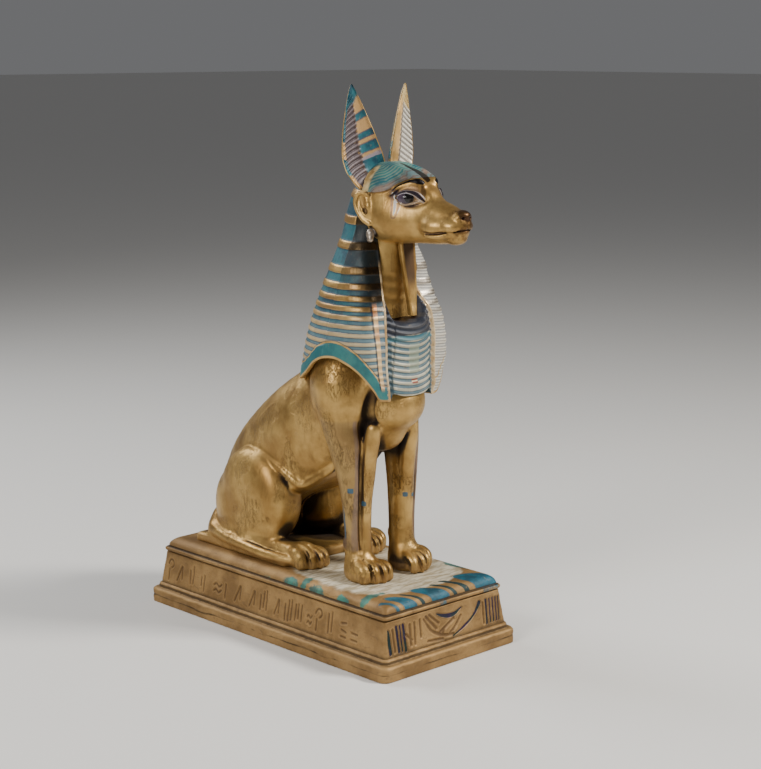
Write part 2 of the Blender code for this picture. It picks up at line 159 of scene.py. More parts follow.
@dataclass
class Ball(Form):
    """An ellipsoid, or a pillow that is thicker near its outline.

    The distance is the point's length in units of the radii, less one, over that length's slope. The
    length joins the part across (x) and the part in the y-z plane by the sum of their powers.
    """

    at: tuple[float, float, float] = (0.0, 0.0, 0.0)
    radii: tuple[float, float, float] = (1.0, 1.0, 1.0)
    lean: float = 0.0
    tilt: float = 0.0
    spin: float = 0.0
    power: float = 2.0

    def distance(self, p: Array) -> Array:
        """Signed distance by the ratio of the scaled length, less one, to its slope."""
        r = np.asarray(self.radii)
        q = (p - np.asarray(self.at)) @ turned(self.lean, self.tilt, self.spin)
        across = np.abs(q[..., 0]) / r[0]
        round_part = np.maximum(np.hypot(q[..., 1] / r[1], q[..., 2] / r[2]), 1e-6)
        k = self.power
        near = np.maximum((across ** k + round_part ** k) ** (1 / k), 1e-6)
        slope_x = (across / near) ** (k - 1) / r[0]
        bend = np.hypot(q[..., 1] / r[1] ** 2, q[..., 2] / r[2] ** 2) / round_part
        slope_round = (round_part / near) ** (k - 1) * bend
        return (near - 1.0) / np.maximum(np.hypot(slope_x, slope_round), 1e-6)

    def bounds(self) -> tuple[Array, Array]:
        """A cube round the ellipsoid, with room for its blend."""
        reach = max(self.radii) + 2 * self.soft
        return np.asarray(self.at) - reach, np.asarray(self.at) + reach


@dataclass
class Limb(Form):
    """A rod through points (x, y, z, radius): the least distance to its straight stretches."""

    points: Sequence[tuple[float, float, float, float]] = ()
    squash: tuple[float, float, float] = (1.0, 1.0, 1.0)
    steps: int = 4

    def distance(self, p: Array) -> Array:
        """Distance to the nearest stretch, less the radius there, in squashed space."""
        path = through(self.points, self.steps)
        scale = 1.0 / np.asarray(self.squash)
        q = p * scale
        best = np.full(p.shape[:-1], 1e9)
        for a, b in zip(path[:-1], path[1:]):
            start = a[:3] * scale
            run = (b[:3] - a[:3]) * scale
            t = np.clip(((q - start) @ run) / (run @ run + 1e-9), 0.0, 1.0)
            away = np.linalg.norm(q - start - t[..., None] * run, axis=-1)
            np.minimum(best, (away - a[3] - t * (b[3] - a[3])) * min(self.squash), out=best)
        return best

    def bounds(self) -> tuple[Array, Array]:
        """The path's box, widened by its radius and blend."""
        path = through(self.points, self.steps)
        reach = path[:, 3].max() * max(1.0, *self.squash) + 2 * self.soft
        return path[:, :3].min(0) - reach, path[:, :3].max(0) + reach


@dataclass
class Block(Form):
    """A box with rounded edges: the length of what reaches past its core, less the corner."""

    at: tuple[float, float, float] = (0.0, 0.0, 0.0)
    half: tuple[float, float, float] = (1.0, 1.0, 1.0)
    corner: float = 2.0
    lean: float = 0.0
    tilt: float = 0.0
    spin: float = 0.0

    def distance(self, p: Array) -> Array:
        """Signed distance to the rounded box."""
        frame = turned(self.lean, self.tilt, self.spin)
        q = np.abs((p - np.asarray(self.at)) @ frame) - (np.asarray(self.half) - self.corner)
        return np.linalg.norm(np.maximum(q, 0.0), axis=-1) + np.minimum(q.max(-1), 0.0) - self.corner

    def bounds(self) -> tuple[Array, Array]:
        """A cube round the box, with room for its blend."""
        reach = float(np.linalg.norm(self.half)) + 2 * self.soft
        return np.asarray(self.at) - reach, np.asarray(self.at) + reach


def blend_low(a: Array, b: Array, soft: float) -> Array:
    """The lesser of two distances, rounded where they are within soft of each other."""
    near = np.maximum(soft - np.abs(a - b), 0.0) / soft
    return np.minimum(a, b) - near * near * soft * 0.25


@dataclass
class Carving:
    """A solid made of blended forms, sampled on a regular grid and skinned with quads."""

    forms: list[Form]
    low: tuple[float, float, float]
    high: tuple[float, float, float]
    step: float
    floor: float | None = None
    axes: list[Array] = field(default_factory=list)
    values: Array = field(default_factory=lambda: np.zeros(0))

    def sample(self) -> None:
        """Fill the grid with the blended distance, form by form, each only inside its own bounds."""
        low = np.asarray(self.low)
        count = np.ceil((np.asarray(self.high) - low) / self.step).astype(int) + 1
        self.axes = [low[k] + self.step * np.arange(count[k]) for k in range(3)]
        self.values = np.full(tuple(count), 30.0)
        for form in self.forms:
            start, end = form.bounds()
            if not form.one_sided:
                reach = max(abs(start[0]), abs(end[0]))
                start = np.array([-reach, start[1], start[2]])
                end = np.array([reach, end[1], end[2]])
            first = np.maximum(np.floor((start - low) / self.step).astype(int), 0)
            last = np.minimum(np.ceil((end - low) / self.step).astype(int) + 1, count)
            if (last <= first).any():
                continue
            part = tuple(slice(a, b) for a, b in zip(first, last))
            grid = np.meshgrid(*[self.axes[k][part[k]] for k in range(3)], indexing="ij")
            if not form.one_sided:
                grid[0] = np.abs(grid[0])
            away = form.distance(np.stack(grid, -1))
            if form.cuts:
                self.values[part] = -blend_low(-self.values[part], away, form.soft)
            else:
                self.values[part] = blend_low(self.values[part], away, form.soft)
        if self.floor is not None:
            below = self.floor - self.axes[2]
            self.values = np.maximum(self.values, below[None, None, :])

    def read(self, points: Array) -> Array:
        """Read the sampled distance between grid points by a weighted mean of the eight round it."""
        place = (points - np.asarray(self.low)) / self.step
        top = np.asarray(self.values.shape) - 1.001
        place = np.clip(place, 0.0, top)
        cell = np.floor(place).astype(int)
        t = place - cell
        total = np.zeros(len(points))
        for i in (0, 1):
            for j in (0, 1):
                for k in (0, 1):
                    share = (np.abs(1 - i - t[:, 0]) * np.abs(1 - j - t[:, 1])
                             * np.abs(1 - k - t[:, 2]))
                    total += share * self.values[cell[:, 0] + i, cell[:, 1] + j, cell[:, 2] + k]
        return total

    def slope(self, points: Array) -> Array:
        """Unit direction in which the distance grows, by central differences."""
        reach = 0.75 * self.step
        parts = []
        for k in range(3):
            shift = np.zeros(3)
            shift[k] = reach
            parts.append(self.read(points + shift) - self.read(points - shift))
        grad = np.stack(parts, -1)
        return grad / np.maximum(np.linalg.norm(grad, axis=-1, keepdims=True), 1e-9)

    def skin(self) -> tuple[Array, Array]:
        """Put one point in each cell that the surface crosses and join them by quads.

        A cell's point is the mean of the crossings on its edges. A quad joins the four cells round
        each grid edge that the surface crosses, wound so that it faces outwards.

        Returns:
            Points in millimetres and quads.
        """
        inside = self.values < 0
        cells = np.array(self.values.shape) - 1
        corners = [(i, j, k) for i in (0, 1) for j in (0, 1) for k in (0, 1)]
        tally = sum(inside[i:cells[0] + i, j:cells[1] + j, k:cells[2] + k].astype(np.int8)
                    for i, j, k in corners)
        crossed = (tally > 0) & (tally < 8)
        number = np.full(tuple(cells), -1)
        where = np.argwhere(crossed)
        number[crossed] = np.arange(len(where))
        total = np.zeros((len(where), 3))
        weight = np.zeros(len(where))
        x, y, z = where.T
        for corner in corners:
            for d in range(3):
                if corner[d]:
                    continue
                other = list(corner)
                other[d] = 1
                here = self.values[x + corner[0], y + corner[1], z + corner[2]]
                there = self.values[x + other[0], y + other[1], z + other[2]]
                cut = (here < 0) != (there < 0)
                share = np.where(cut, here / np.where(cut, here - there, 1.0), 0.0)
                spot = np.tile(np.asarray(corner, float), (len(where), 1))
                spot[:, d] += share
                total += spot * cut[:, None]
                weight += cut
        points = np.asarray(self.low) + self.step * (where + total / weight[:, None])
        quads = []
        for d, (u, v) in enumerate(((1, 2), (2, 0), (0, 1))):
            back = [slice(None)] * 3
            ahead = [slice(None)] * 3
            back[d] = slice(0, -1)
            ahead[d] = slice(1, None)
            edge = np.argwhere(inside[tuple(back)] != inside[tuple(ahead)])
            keep = (edge[:, u] > 0) & (edge[:, v] > 0) & (edge[:, u] < cells[u]) & (edge[:, v] < cells[v])
            edge = edge[keep]
            ring = []
            for du, dv in ((1, 1), (0, 1), (0, 0), (1, 0)):
                near = edge.copy()
                near[:, u] -= du
                near[:, v] -= dv
                ring.append(number[near[:, 0], near[:, 1], near[:, 2]])
            quad = np.stack(ring, 1)
            flip = ~inside[edge[:, 0], edge[:, 1], edge[:, 2]]
            quad[flip] = quad[flip][:, ::-1]
            quads.append(quad)
        return points, np.vstack(quads)

    def settle(self, points: Array, rounds: int = 2) -> Array:
        """Slide points along the slope until the distance is nought."""
        for _ in range(rounds):
            points = points - self.read(points)[:, None] * self.slope(points) * 0.8
        return points

    def hollow(self, points: Array, normals: Array, reach: float) -> Array:
        """How shut-in a point is: what is missing of the free distance a step out along the normal."""
        probe = points + normals * reach
        high = np.asarray(self.low) + self.step * (np.array(self.values.shape) - 1)
        beyond = np.linalg.norm(probe - np.clip(probe, self.low, high), axis=1)
        return np.clip(1.0 - (self.read(probe) + beyond) / reach, 0.0, 1.0)


# Meshes


@dataclass
class Mesh:
    """Points in millimetres with faces and what is known of each point."""

    points: Array
    faces: Array
    marks: dict[str, Array] = field(default_factory=dict)

    def place(self, name: str, slot: Slot, material: bpy.types.Material,
              replaces: str | None = None) -> bpy.types.Object:
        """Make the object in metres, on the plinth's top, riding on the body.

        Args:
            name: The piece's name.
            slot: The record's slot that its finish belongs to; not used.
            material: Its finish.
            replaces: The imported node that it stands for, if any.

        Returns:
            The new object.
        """
        mesh = bpy.data.meshes.new(name)
        spots = (self.points + np.array([0.0, 0.0, PLINTH_TOP])) * MM
        sides = self.faces.shape[1]
        mesh.vertices.add(len(spots))
        mesh.vertices.foreach_set("co", spots.astype(np.float32).ravel())
        mesh.loops.add(self.faces.size)
        mesh.loops.foreach_set("vertex_index", self.faces.astype(np.int32).ravel())
        mesh.polygons.add(len(self.faces))
        mesh.polygons.foreach_set("loop_start", np.arange(len(self.faces), dtype=np.int32) * sides)
        mesh.polygons.foreach_set("loop_total", np.full(len(self.faces), sides, np.int32))
        mesh.update(calc_edges=True)
        mesh.polygons.foreach_set("use_smooth", np.ones(len(mesh.polygons), bool))
        for key, values in self.marks.items():
            layer = mesh.attributes.new(key, "FLOAT", "POINT")
            layer.data.foreach_set("value", values.astype(np.float32))
        mesh.validate()
        mesh.materials.append(material)
        obj = bpy.data.objects.new(name, mesh)
        bpy.context.scene.collection.objects.link(obj)
        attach(obj, BODY)
        if replaces:
            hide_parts(replaces)
        log.info("%s: %d points, %d faces", name, len(spots), len(self.faces))
        return obj


def grid_faces(rows: int, columns: int, wraps: bool = True) -> Array:
    """Quads between rows of points; with wraps, the last column joins the first."""
    r = np.arange(rows - 1)[:, None]
    c = np.arange(columns if wraps else columns - 1)[None, :]
    ahead = (c + 1) % columns
    quad = np.stack([r * columns + c, r * columns + ahead, (r + 1) * columns + ahead,
                     (r + 1) * columns + c], -1)
    return quad.reshape(-1, 4)


def split(quads: Array) -> Array:
    """Two triangles from each quad."""
    return np.vstack([quads[:, [0, 1, 2]], quads[:, [0, 2, 3]]])


def fan(first: int, columns: int, hub: int, forward: bool) -> Array:
    """Triangles that close a row of points to a point in its middle.

    Args:
        first: Number of the row's first point.
        columns: Points in the row.
        hub: Number of the middle point.
        forward: Whether the triangles run the way that the row does.

    Returns:
        One triangle for each point of the row.
    """
    ring = np.arange(columns)
    ahead = (ring + 1) % columns
    one, two = (ring, ahead) if forward else (ahead, ring)
    return np.stack([first + one, first + two, np.full_like(ring, hub)], 1)


def with_ends(marks: dict[str, Array]) -> dict[str, Array]:
    """Give the two closing points, which come last, the marks of the first and the last point."""
    return {key: np.append(value, [value[0], value[-1]]) for key, value in marks.items()}


def welded(points: Array, quads: Array, limit: float = 1e-3) -> tuple[Array, Array]:
    """Merge points closer than limit, as at poles, and split each quad into its sound triangles."""
    key = np.round(points / limit).astype(np.int64)
    _, first, place = np.unique(key, axis=0, return_index=True, return_inverse=True)
    place = place.reshape(-1)
    halves = split(place[quads])
    sound = ((halves[:, 0] != halves[:, 1]) & (halves[:, 1] != halves[:, 2])
             & (halves[:, 0] != halves[:, 2]))
    return first, halves[sound]


def point_normals(points: Array, faces: Array) -> Array:
    """Unit normals of points: the sum of their faces' cross products."""
    a, b, c = points[faces[:, 0]], points[faces[:, 1]], points[faces[:, 2]]
    cross = np.cross(b - a, c - a)
    total = np.zeros_like(points)
    for k in range(faces.shape[1]):
        np.add.at(total, faces[:, k], cross)
    return total / np.maximum(np.linalg.norm(total, axis=1, keepdims=True), 1e-12)


# The figure


@dataclass
class Body:
    """Trunk, limbs, tail and ground slab of the jackal, carved in one."""

    step: float = 1.86
    leg_x: float = 32.5
    paw_y: float = -128.5
    hind_x: float = 46.0
    hind_y: float = -42.5
    toe_spread: float = 13.0

    def trunk(self) -> list[Form]:
        """The leaning barrel along the spine, with flanks, breast and neck."""
        spine = [(0, 106, 40, 51), (0, 103, 64, 53), (0, 86, 91, 55), (0, 58, 115, 58),
                 (0, 23, 140, 60), (0, -14, 165, 58), (0, -46, 190, 53), (0, -70, 212, 48)]
        neck = [(0, -54, 205, 46), (0, -72, 256, 48), (0, -86, 296, 36), (0, -95, 330, 27),
                (0, -97, 368, 25)]
        return [
            Limb(points=spine, squash=(0.87, 1, 1), soft=20, steps=3),
            Ball(at=(27, 4, 112), radii=(18, 52, 28), lean=-42, soft=18),
            Ball(at=(24, -40, 146), radii=(18, 36, 26), lean=-42, soft=18),
            Ball(at=(0, -76, 196), radii=(45, 48, 44), lean=-10, soft=18),
            Ball(at=(0, -99, 192), radii=(38, 41, 34), lean=10, soft=12),
            Limb(points=neck, soft=12, steps=3),
        ]

    def toes(self, x: float, y: float, radius: float) -> list[Form]:
        """Four toes that curl down in front of a paw, the outer ones set back, with dark gaps between.

        Args:
            x: The paw's middle.
            y: The foremost toe's front.
            radius: Toe radius at the knuckle.

        Returns:
            The toes' forms.
        """
        forms: list[Form] = []
        shares = (-1.0, -0.34, 0.34, 1.0)
        backs = (3.0, 1.0, 4.5, 11.0)
        sizes = (0.88, 0.98, 1.08, 1.16)
        places = [(x + self.toe_spread * share, y + back, radius * size)
                  for share, back, size in zip(shares, backs, sizes)]
        for (across, front, r), share in zip(places, shares):
            path = [(x + self.toe_spread * share * 0.8, front + 22, 17.5, r * 0.8),
                    (across, front + 14, 16.5, r * 0.98), (across, front + 7.5, 12.5, r * 1.08),
                    (across, front + r, 5.5, r * 1.02)]
            forms.append(Limb(points=path, soft=1.2, steps=4))
        for (x0, y0, r0), (x1, y1, r1) in zip(places[:-1], places[1:]):
            across, front, r = 0.5 * (x0 + x1), 0.5 * (y0 + y1), 0.5 * (r0 + r1)
            gap = [(across, front + 19, 16.5 + r, 0.8), (across, front + 12, 14.5 + r, 1.6),
                   (across, front + 5.0, 11.5 + r * 0.7, 2.2), (across, front + 1.0, 8.0, 2.3),
                   (across, front + 0.5, 0.0, 2.3)]
            forms.append(Limb(points=gap, soft=1.4, cuts=True, steps=4))
        return forms

    def forelegs(self) -> list[Form]:
        """Shoulder, straight foreleg with the sinew's groove, wrist, paw and toes."""
        x = self.leg_x
        leg = [(44, -68, 208, 25), (42.5, -71.5, 172, 21.8), (38.5, -79, 138, 19.6),
               (34.5, -84.5, 98, 16.4), (33, -86, 60, 14.4), (x, -87, 32, 14.2), (x, -88, 10, 15.4)]
        groove = [(39.4, -103.5, 158, 2.0), (39.6, -101.2, 146, 2.8), (39.4, -99.2, 128, 3.0),
                  (39, -97.8, 90, 2.9), (39.2, -97.6, 50, 2.8), (41, -99.2, 26, 1.8)]
        column = [(27.5, -106, 164, 8.2), (28.3, -103.5, 151, 9.0), (28.8, -99.6, 134, 9.3),
                  (29.2, -96.8, 112, 9.2), (30.5, -93.8, 84, 8.8), (31, -92.5, 50, 8.8),
                  (32.5, -93, 24, 10)]
        behind = [(57, -50, 200, 3), (56, -54, 168, 4.4), (52, -60, 136, 4.4), (47, -65, 112, 3.6)]
        recess = [(34, -114, 210, 3.5), (33.5, -108.5, 196, 5.5), (32, -105, 183, 7), (30, -104, 172, 7.6),
                  (29, -104, 164, 6.5)]
        under = [(21, -111, 150, 5), (14, -100, 132, 5)]
        return [
            Ball(at=(43, -64, 206), radii=(22, 32, 47), lean=-8, soft=12),
            Limb(points=behind, soft=5, cuts=True, steps=3),
            Ball(at=(0, -90, 160), radii=(25, 27, 25), soft=9, one_sided=True),
            Limb(points=under, soft=6, cuts=True, steps=3),
            Limb(points=leg, soft=7, steps=4),
            Limb(points=recess, soft=7, cuts=True, steps=4),
            Limb(points=column, soft=2.4, steps=4),
            Limb(points=groove, soft=1.4, cuts=True, steps=4),
            Ball(at=(x + 1, -76, 36), radii=(8, 8, 9), soft=6),
            Ball(at=(x, -96, 9), radii=(18.5, 20, 19), soft=7),
            Ball(at=(x, -100, 5), radii=(18.5, 18, 14), soft=4),
            *self.toes(x, self.paw_y, 6.3),
        ]

    def hindquarters(self) -> list[Form]:
        """Folded thigh with its crease, the skin fold before it, the long foot and its toes."""
        x = self.hind_x
        fold = [(49, 52, 116.5, 4.4), (49.5, 26, 106.5, 4.4), (46.5, 6, 95, 4.0), (41, -7, 88.5, 3.6),
                (35, -24, 98, 3.8), (29, -42, 111, 4.6), (24, -62, 132, 6)]
        web = [(38, 40, 88, 9), (37, 16, 84, 6.5), (36, -2, 92, 5.5)]
        crease = [(52, 10, 30, 5), (50, 6, 52, 6), (51, 7, 76, 6), (54, 14, 98, 5.5),
                  (58, 30, 114, 5), (58, 54, 124, 4)]
        shin = [(47, 18, 80, 6.5), (50, 22, 56, 8), (51, 30, 30, 10)]
        foot = [(54, 122, 12, 12), (57, 84, 14, 13.5), (56, 54, 15, 12.5), (52, 14, 13, 12),
                (47, -12, 11, 13)]
        return [
            Limb(points=web, soft=6, steps=3),
            Limb(points=crease, soft=4, cuts=True, steps=3),
            Limb(points=fold, soft=3.0, steps=5),
            Ball(at=(43, 90, 50), radii=(26, 42, 48), soft=10),
            Ball(at=(41, 64, 65), radii=(29, 54.5, 57), soft=2.0, power=2.7),
            Ball(at=(45, 40, 58), radii=(18, 28, 42), soft=6, power=2.4),
            Limb(points=shin, soft=6, steps=3),
            Limb(points=foot, soft=6, steps=3),
            Ball(at=(60, 66, 20), radii=(9, 12, 9), soft=6),
            Ball(at=(x, -15, 9), radii=(17.5, 18, 17), soft=6),
            *self.toes(x, self.hind_y, 6.0),
        ]

    def tail(self) -> list[Form]:
        """The tail, laid along the right side of the ground slab."""
        root = [(-2, 128, 62, 15), (-14, 139, 40, 13), (-36, 139, 26, 11.5), (-54, 126, 18, 9)]
        path = [(-36, 140, 24, 11), (-56, 127, 18, 8.6), (-66.5, 100, 15.5, 6.8), (-70.5, 66, 13.6, 5.9),
                (-71, 30, 11, 5.4), (-68, 6, 9.4, 5), (-62.5, -12, 8.4, 4.6)]
        return [Limb(points=root, soft=9, steps=5, one_sided=True),
                Limb(points=path, soft=3, steps=5, one_sided=True)]

    def slab(self) -> list[Form]:
        """The low ground slab under the haunches."""
        return [Block(at=(0, 72, 1.5), half=(68, 79, 8.5), corner=5, soft=4)]

    def build(self, finish: bpy.types.Material) -> bpy.types.Object:
        """Sample, skin and place the body.

        Args:
            finish: The gilding.

        Returns:
            The piece that stands for the figure's node.
        """
        forms = [*self.trunk(), *self.forelegs(), *self.hindquarters(), *self.slab(), *self.tail()]
        carving = Carving(forms, (-78, -153, -3), (78, 164, 376), self.step, floor=CONTACT_GAP)
        carving.sample()
        points, quads = carving.skin()
        points = carving.settle(points)
        points[:, 2] = np.maximum(points[:, 2], CONTACT_GAP)
        normals = point_normals(points, quads)
        near = carving.hollow(points, normals, NEAR_REACH)
        # How shut in each point is over a hand's breadth: the finish paints shade there, with some patina.
        wide = carving.hollow(points, normals, WIDE_REACH)
        marks = {"hollow": near, "painted_shade_and_patina": wide, **self.paint(points)}
        return Mesh(points, quads, marks).place("jackal_body", Slot.FIGURE, finish, FIGURE_NODE)

    def paint(self, points: Array) -> dict[str, Array]:
        """Distances to the small painted squares and into the forelegs' fronts and the ground."""
        squares = ((-48, -92, 98.4, 3.4, 2.7), (-37.4, -100, 84, 3.4, 2.7), (25.7, -99, 83.5, 3.2, 2.6),
                   (34.3, -101, 82.4, 2.6, 2.1), (-46.6, -81.5, 62, 1.6, 18.0))
        square = np.full(len(points), FAR)
        for x, y, z, half, tall in squares:
            flat = np.hypot(points[:, 0] - x, points[:, 1] - y) - half
            square = np.minimum(square, np.maximum(flat, np.abs(points[:, 2] - z) - tall))
        x, y, z = np.abs(points[:, 0]), points[:, 1], points[:, 2]
        leg = np.minimum(np.minimum(z - 30.0, 175.0 - z), -60.0 - y)
        return {"square": square, "leg": np.clip(leg, -FAR, FAR), "leg_side": x - 39.4,
                "ground": np.clip(9.4 - z, -FAR, FAR)}


@dataclass
class Head:
    """The jackal's head: skull with its cap, muzzle, lips, eyes and the small ears."""

    step: float = 0.95
    eye_at: tuple[float, float, float] = (20, -146.5, 409.2)
    eye_radii: tuple[float, float, float] = (9.0, 9.8, 7.4)
    iris_at: tuple[float, float, float] = (22.8, -155.0, 410.2)
    iris_radius: float = 6.3

    def skull(self) -> list[Form]:
        """Cranium, cheeks, forehead and throat."""
        return [
            Ball(at=(0, -106, 399), radii=(34, 41, 40), soft=8),
            Ball(at=(17, -121, 387), radii=(17, 32, 24), soft=10),
            Ball(at=(0, -119, 379), radii=(26, 40, 17), soft=10),
            Ball(at=(0, -137, 410), radii=(23, 35, 18), lean=14, soft=9),
        ]

    def muzzle(self) -> list[Form]:
        """Snout, jaw, flews, chin and nose."""
        snout = [(0, -134, 391, 26), (0, -160, 388.5, 22.5), (0, -184, 386, 18.3), (0, -201, 384, 13.6)]
        jaw = [(0, -126, 375, 12), (0, -165, 373, 10.5), (0, -194, 373, 8.6)]
        return [
            Limb(points=snout, squash=(0.9, 1, 1), soft=8, steps=10),
            Limb(points=jaw, squash=(1.4, 1, 1), soft=6, steps=8),
            Ball(at=(9.5, -194, 382.5), radii=(9, 15, 8), soft=4),
            Ball(at=(15, -177, 381.5), radii=(8, 13, 8.5), soft=6),
            Ball(at=(0, -200, 370), radii=(9, 9, 6), soft=5),
            Ball(at=(0, -206, 393.6), radii=(8.6, 8.4, 5.6), soft=3),
            Ball(at=(6.5, -205.5, 391.5), radii=(3.8, 5, 3.6), soft=3),
            Ball(at=(4.6, -212.5, 391.5), radii=(2.0, 4, 1.3), soft=1.5, cuts=True, tilt=20),
            Limb(points=[(0, -214, 389, 0.7), (0, -214.5, 381, 0.6)], soft=1.5, cuts=True, steps=2),
        ]

    def mouth(self) -> list[Form]:
        """The line of the lips, cut in along each side of the muzzle and round its front."""
        line = [(21.5, -169, 375.5, 1.3), (20.4, -176, 375.2, 1.3), (18.4, -184, 375.4, 1.2),
                (15.4, -193.5, 377.0, 1.1), (11, -204, 378.4, 1.1), (5, -210.5, 379.4, 1.1),
                (0, -212, 379.8, 1.1)]
        upper = [(19.6, -174, 378.0, 1.6), (17.4, -186, 378.6, 1.9), (12.4, -199, 381, 2.0),
                 (5, -207, 382.4, 2.0), (0, -208.5, 382.8, 2.0)]
        lower = [(19.4, -174, 372.0, 1.9), (16.6, -187, 372.0, 2.4), (10.5, -200, 374.4, 2.5),
                 (4, -206.5, 375.6, 2.5), (0, -207.5, 375.8, 2.5)]
        return [Limb(points=upper, soft=2.6, steps=7), Limb(points=lower, soft=2.6, steps=7),
                Limb(points=line, soft=1.8, cuts=True, steps=6)]

    def eyes(self) -> list[Form]:
        """Sockets, balls, lids and brows."""
        upper = [(12.5, -164, 406.5, 1.1), (17, -158.5, 412.4, 1.5), (22.5, -152, 415.2, 1.7),
                 (26, -144.5, 413.8, 1.5), (28.5, -137.5, 410, 1.1)]
        lower = [(12.5, -164, 406, 0.9), (17.5, -159, 404.4, 1.1), (22, -153.5, 403, 1.2),
                 (26, -147, 402.6, 1.2), (28.5, -138, 408, 1.0)]
        brow = [(8.5, -158, 422, 2.6), (13.5, -151.5, 422.8, 2.8), (19, -143.5, 421.4, 2.6),
                (25, -137, 418, 2.1), (31, -132.5, 412.5, 1.6)]
        return [
            Ball(at=(22, -156, 409.5), radii=(12.5, 9, 8), soft=6, cuts=True, spin=28),
            Ball(at=(13.5, -165, 412), radii=(5.5, 5.5, 7.5), soft=4, cuts=True),
            Ball(at=self.eye_at, radii=self.eye_radii, soft=1.2),
            Limb(points=upper, soft=1.2, steps=7),
            Limb(points=lower, soft=1.2, steps=7),
            Limb(points=brow, soft=4, steps=8),
        ]

    def small_ears(self) -> list[Form]:
        """A small rounded ear below each tall one: rim, hollow and lobe."""
        rim = [(34, -105.5, 409.5, 2.0), (37, -99.5, 412.4, 2.5), (38.8, -93.5, 409.5, 2.7),
               (39.2, -91.5, 402, 2.7), (38.4, -94.5, 393, 2.7), (36.6, -101, 385, 3.0),
               (34.5, -107.5, 381.0, 3.2)]
        return [
            Ball(at=(34, -100.5, 398), radii=(5.4, 9.5, 15), lean=-20, soft=3),
            Limb(points=rim, soft=1.6, steps=6),
            Ball(at=(39.2, -100.5, 403), radii=(3.4, 4.4, 7.5), lean=-20, soft=1.4, cuts=True),
            Ball(at=(38, -104, 394.5), radii=(3, 3, 4.4), lean=-20, soft=1.4, cuts=True),
            Ball(at=(36, -107, 399), radii=(2.2, 2.4, 4), soft=1.5),
            Ball(at=(34.5, -108.5, 370), radii=(4.2, 4.6, 6), soft=1.2),
            Ball(at=(36, -110.5, 365.5), radii=(3, 3.2, 3.6), soft=1.2),
            Ball(at=(33.5, -106, 364.5), radii=(2.6, 2.8, 3.2), soft=1.0),
        ]

    def cap(self) -> list[Form]:
        """The head cloth's cap with its raised edge, and two ridges along the forehead with a slot."""
        crest = [(7.5, -98, 437.5, 3), (8.4, -118, 437.8, 3.6), (9.2, -136, 434.0, 3.8),
                 (9.6, -148, 429.4, 3.6), (9.6, -155, 425.4, 2.6)]
        slot = [(0, -117, 442.4, 0.8), (0, -130, 440.2, 1.9), (0, -143, 436.4, 2.9),
                (0, -152, 432.2, 3.5), (0, -156, 430.0, 2.8)]
        return [
            Cap(at=(0, -105.5, 400.5), radii=(36, 43, 41.4), soft=1.6),
            Ball(at=(0, -138, 413.5), radii=(22, 33, 16.5), lean=16, soft=4),
            Limb(points=slot, soft=1.5, cuts=True, steps=6),
            Limb(points=crest, squash=(1.5, 1, 1), soft=7, steps=6),
        ]

    def build(self, finish: bpy.types.Material) -> bpy.types.Object:
        """Sample, skin and place the head."""
        forms = [*self.skull(), *self.muzzle(), *self.mouth(), *self.eyes(), *self.cap(),
                 *self.small_ears()]
        carving = Carving(forms, (-46, -222, 352), (46, -56, 448), self.step)
        carving.sample()
        points, quads = carving.skin()
        points = carving.settle(points)
        normals = point_normals(points, quads)
        marks = {"hollow": carving.hollow(points, normals, FACE_REACH), **self.paint(points, normals)}
        return Mesh(points, quads, marks).place("jackal_head", Slot.FIGURE, finish, FIGURE_NODE)

    def paint(self, points: Array, normals: Array) -> dict[str, Array]:
        """Distances that the finish turns into painted lines: each is that to a thin rod on the skin."""
        near = points * [0, 1, 1] + np.abs(points) * [1, 0, 0]
        facing = normals * np.where(points[:, :1] < 0, [-1, 1, 1], [1, 1, 1])
        rods = {
            "kohl": [(12.5, -165, 405.8, 0.7), (14, -162, 408.5, 0.9), (17.5, -158, 413, 1.1),
                     (22.5, -152, 415.6, 1.3), (26, -144.5, 414.4, 1.4), (29, -137, 411.5, 1.3)],
            "lower_lid": [(13, -164, 405.5, 0.6), (17, -159.5, 405.6, 0.8), (21, -155, 403.4, 0.9),
                          (25, -148.5, 402.2, 0.9), (28, -140, 406.5, 0.7)],
            "brow_line": [(9.5, -158.5, 423.8, 1.7), (14, -152, 425, 1.6), (19, -144, 423.8, 1.4),
                          (25, -138.5, 420.6, 1.1), (30, -136.5, 416.4, 0.8), (32.8, -136, 412.6, 0.5)],
            "streak": [(30, -137.5, 413.5, 1.0), (31, -138.5, 408, 1.5), (32, -140, 402, 1.6),
                       (32.5, -140, 396, 1.2), (32.5, -139, 391, 0.3)],
            # A painted highlight down the cheek: a pale whitish-gold stroke.
            "painted_cheek_highlight": [(29, -146.5, 404, 0.6), (30, -145.5, 400, 0.9), (31, -143.5, 394, 0.4)],
            # socket: painted shade in the inner corner of the eye, below the brow.
            "socket": [(10.5, -161, 420, 1.6), (12, -163, 415, 2.4), (13.5, -164, 410, 1.8)],
            "arc": [(32, -114, 411, 0), (30.4, -119.5, 413.3, 0), (27, -128, 416.2, 0),
                    (22, -133, 421, 0), (14.5, -139, 425.2, 0), (5, -148, 427.6, 0), (0, -160, 429, 0)],
            "lips": [(21.5, -168, 375.5, 0.6), (18.4, -184, 375.4, 0.6), (15.4, -193.5, 377.0, 0.6),
                     (11, -204, 378.4, 0.6), (5, -210.5, 379.4, 0.6), (0, -212, 379.8, 0.6)],
            # slot: painted shade in the groove along the forehead.
            "slot": [(0, -117, 441.5, 0.8), (0, -130, 438.6, 1.9), (0, -143, 434.4, 3.0),
                     (0, -152, 430.2, 3.6), (0, -156, 428.0, 2.8)],
        }
        marks = {key: skin_distance(near, facing, rod) for key, rod in rods.items()}
        marks["iris"] = np.linalg.norm(near - np.array(self.iris_at), axis=1) - self.iris_radius
        marks["eyeball"] = Ball(at=self.eye_at, radii=self.eye_radii).distance(near)
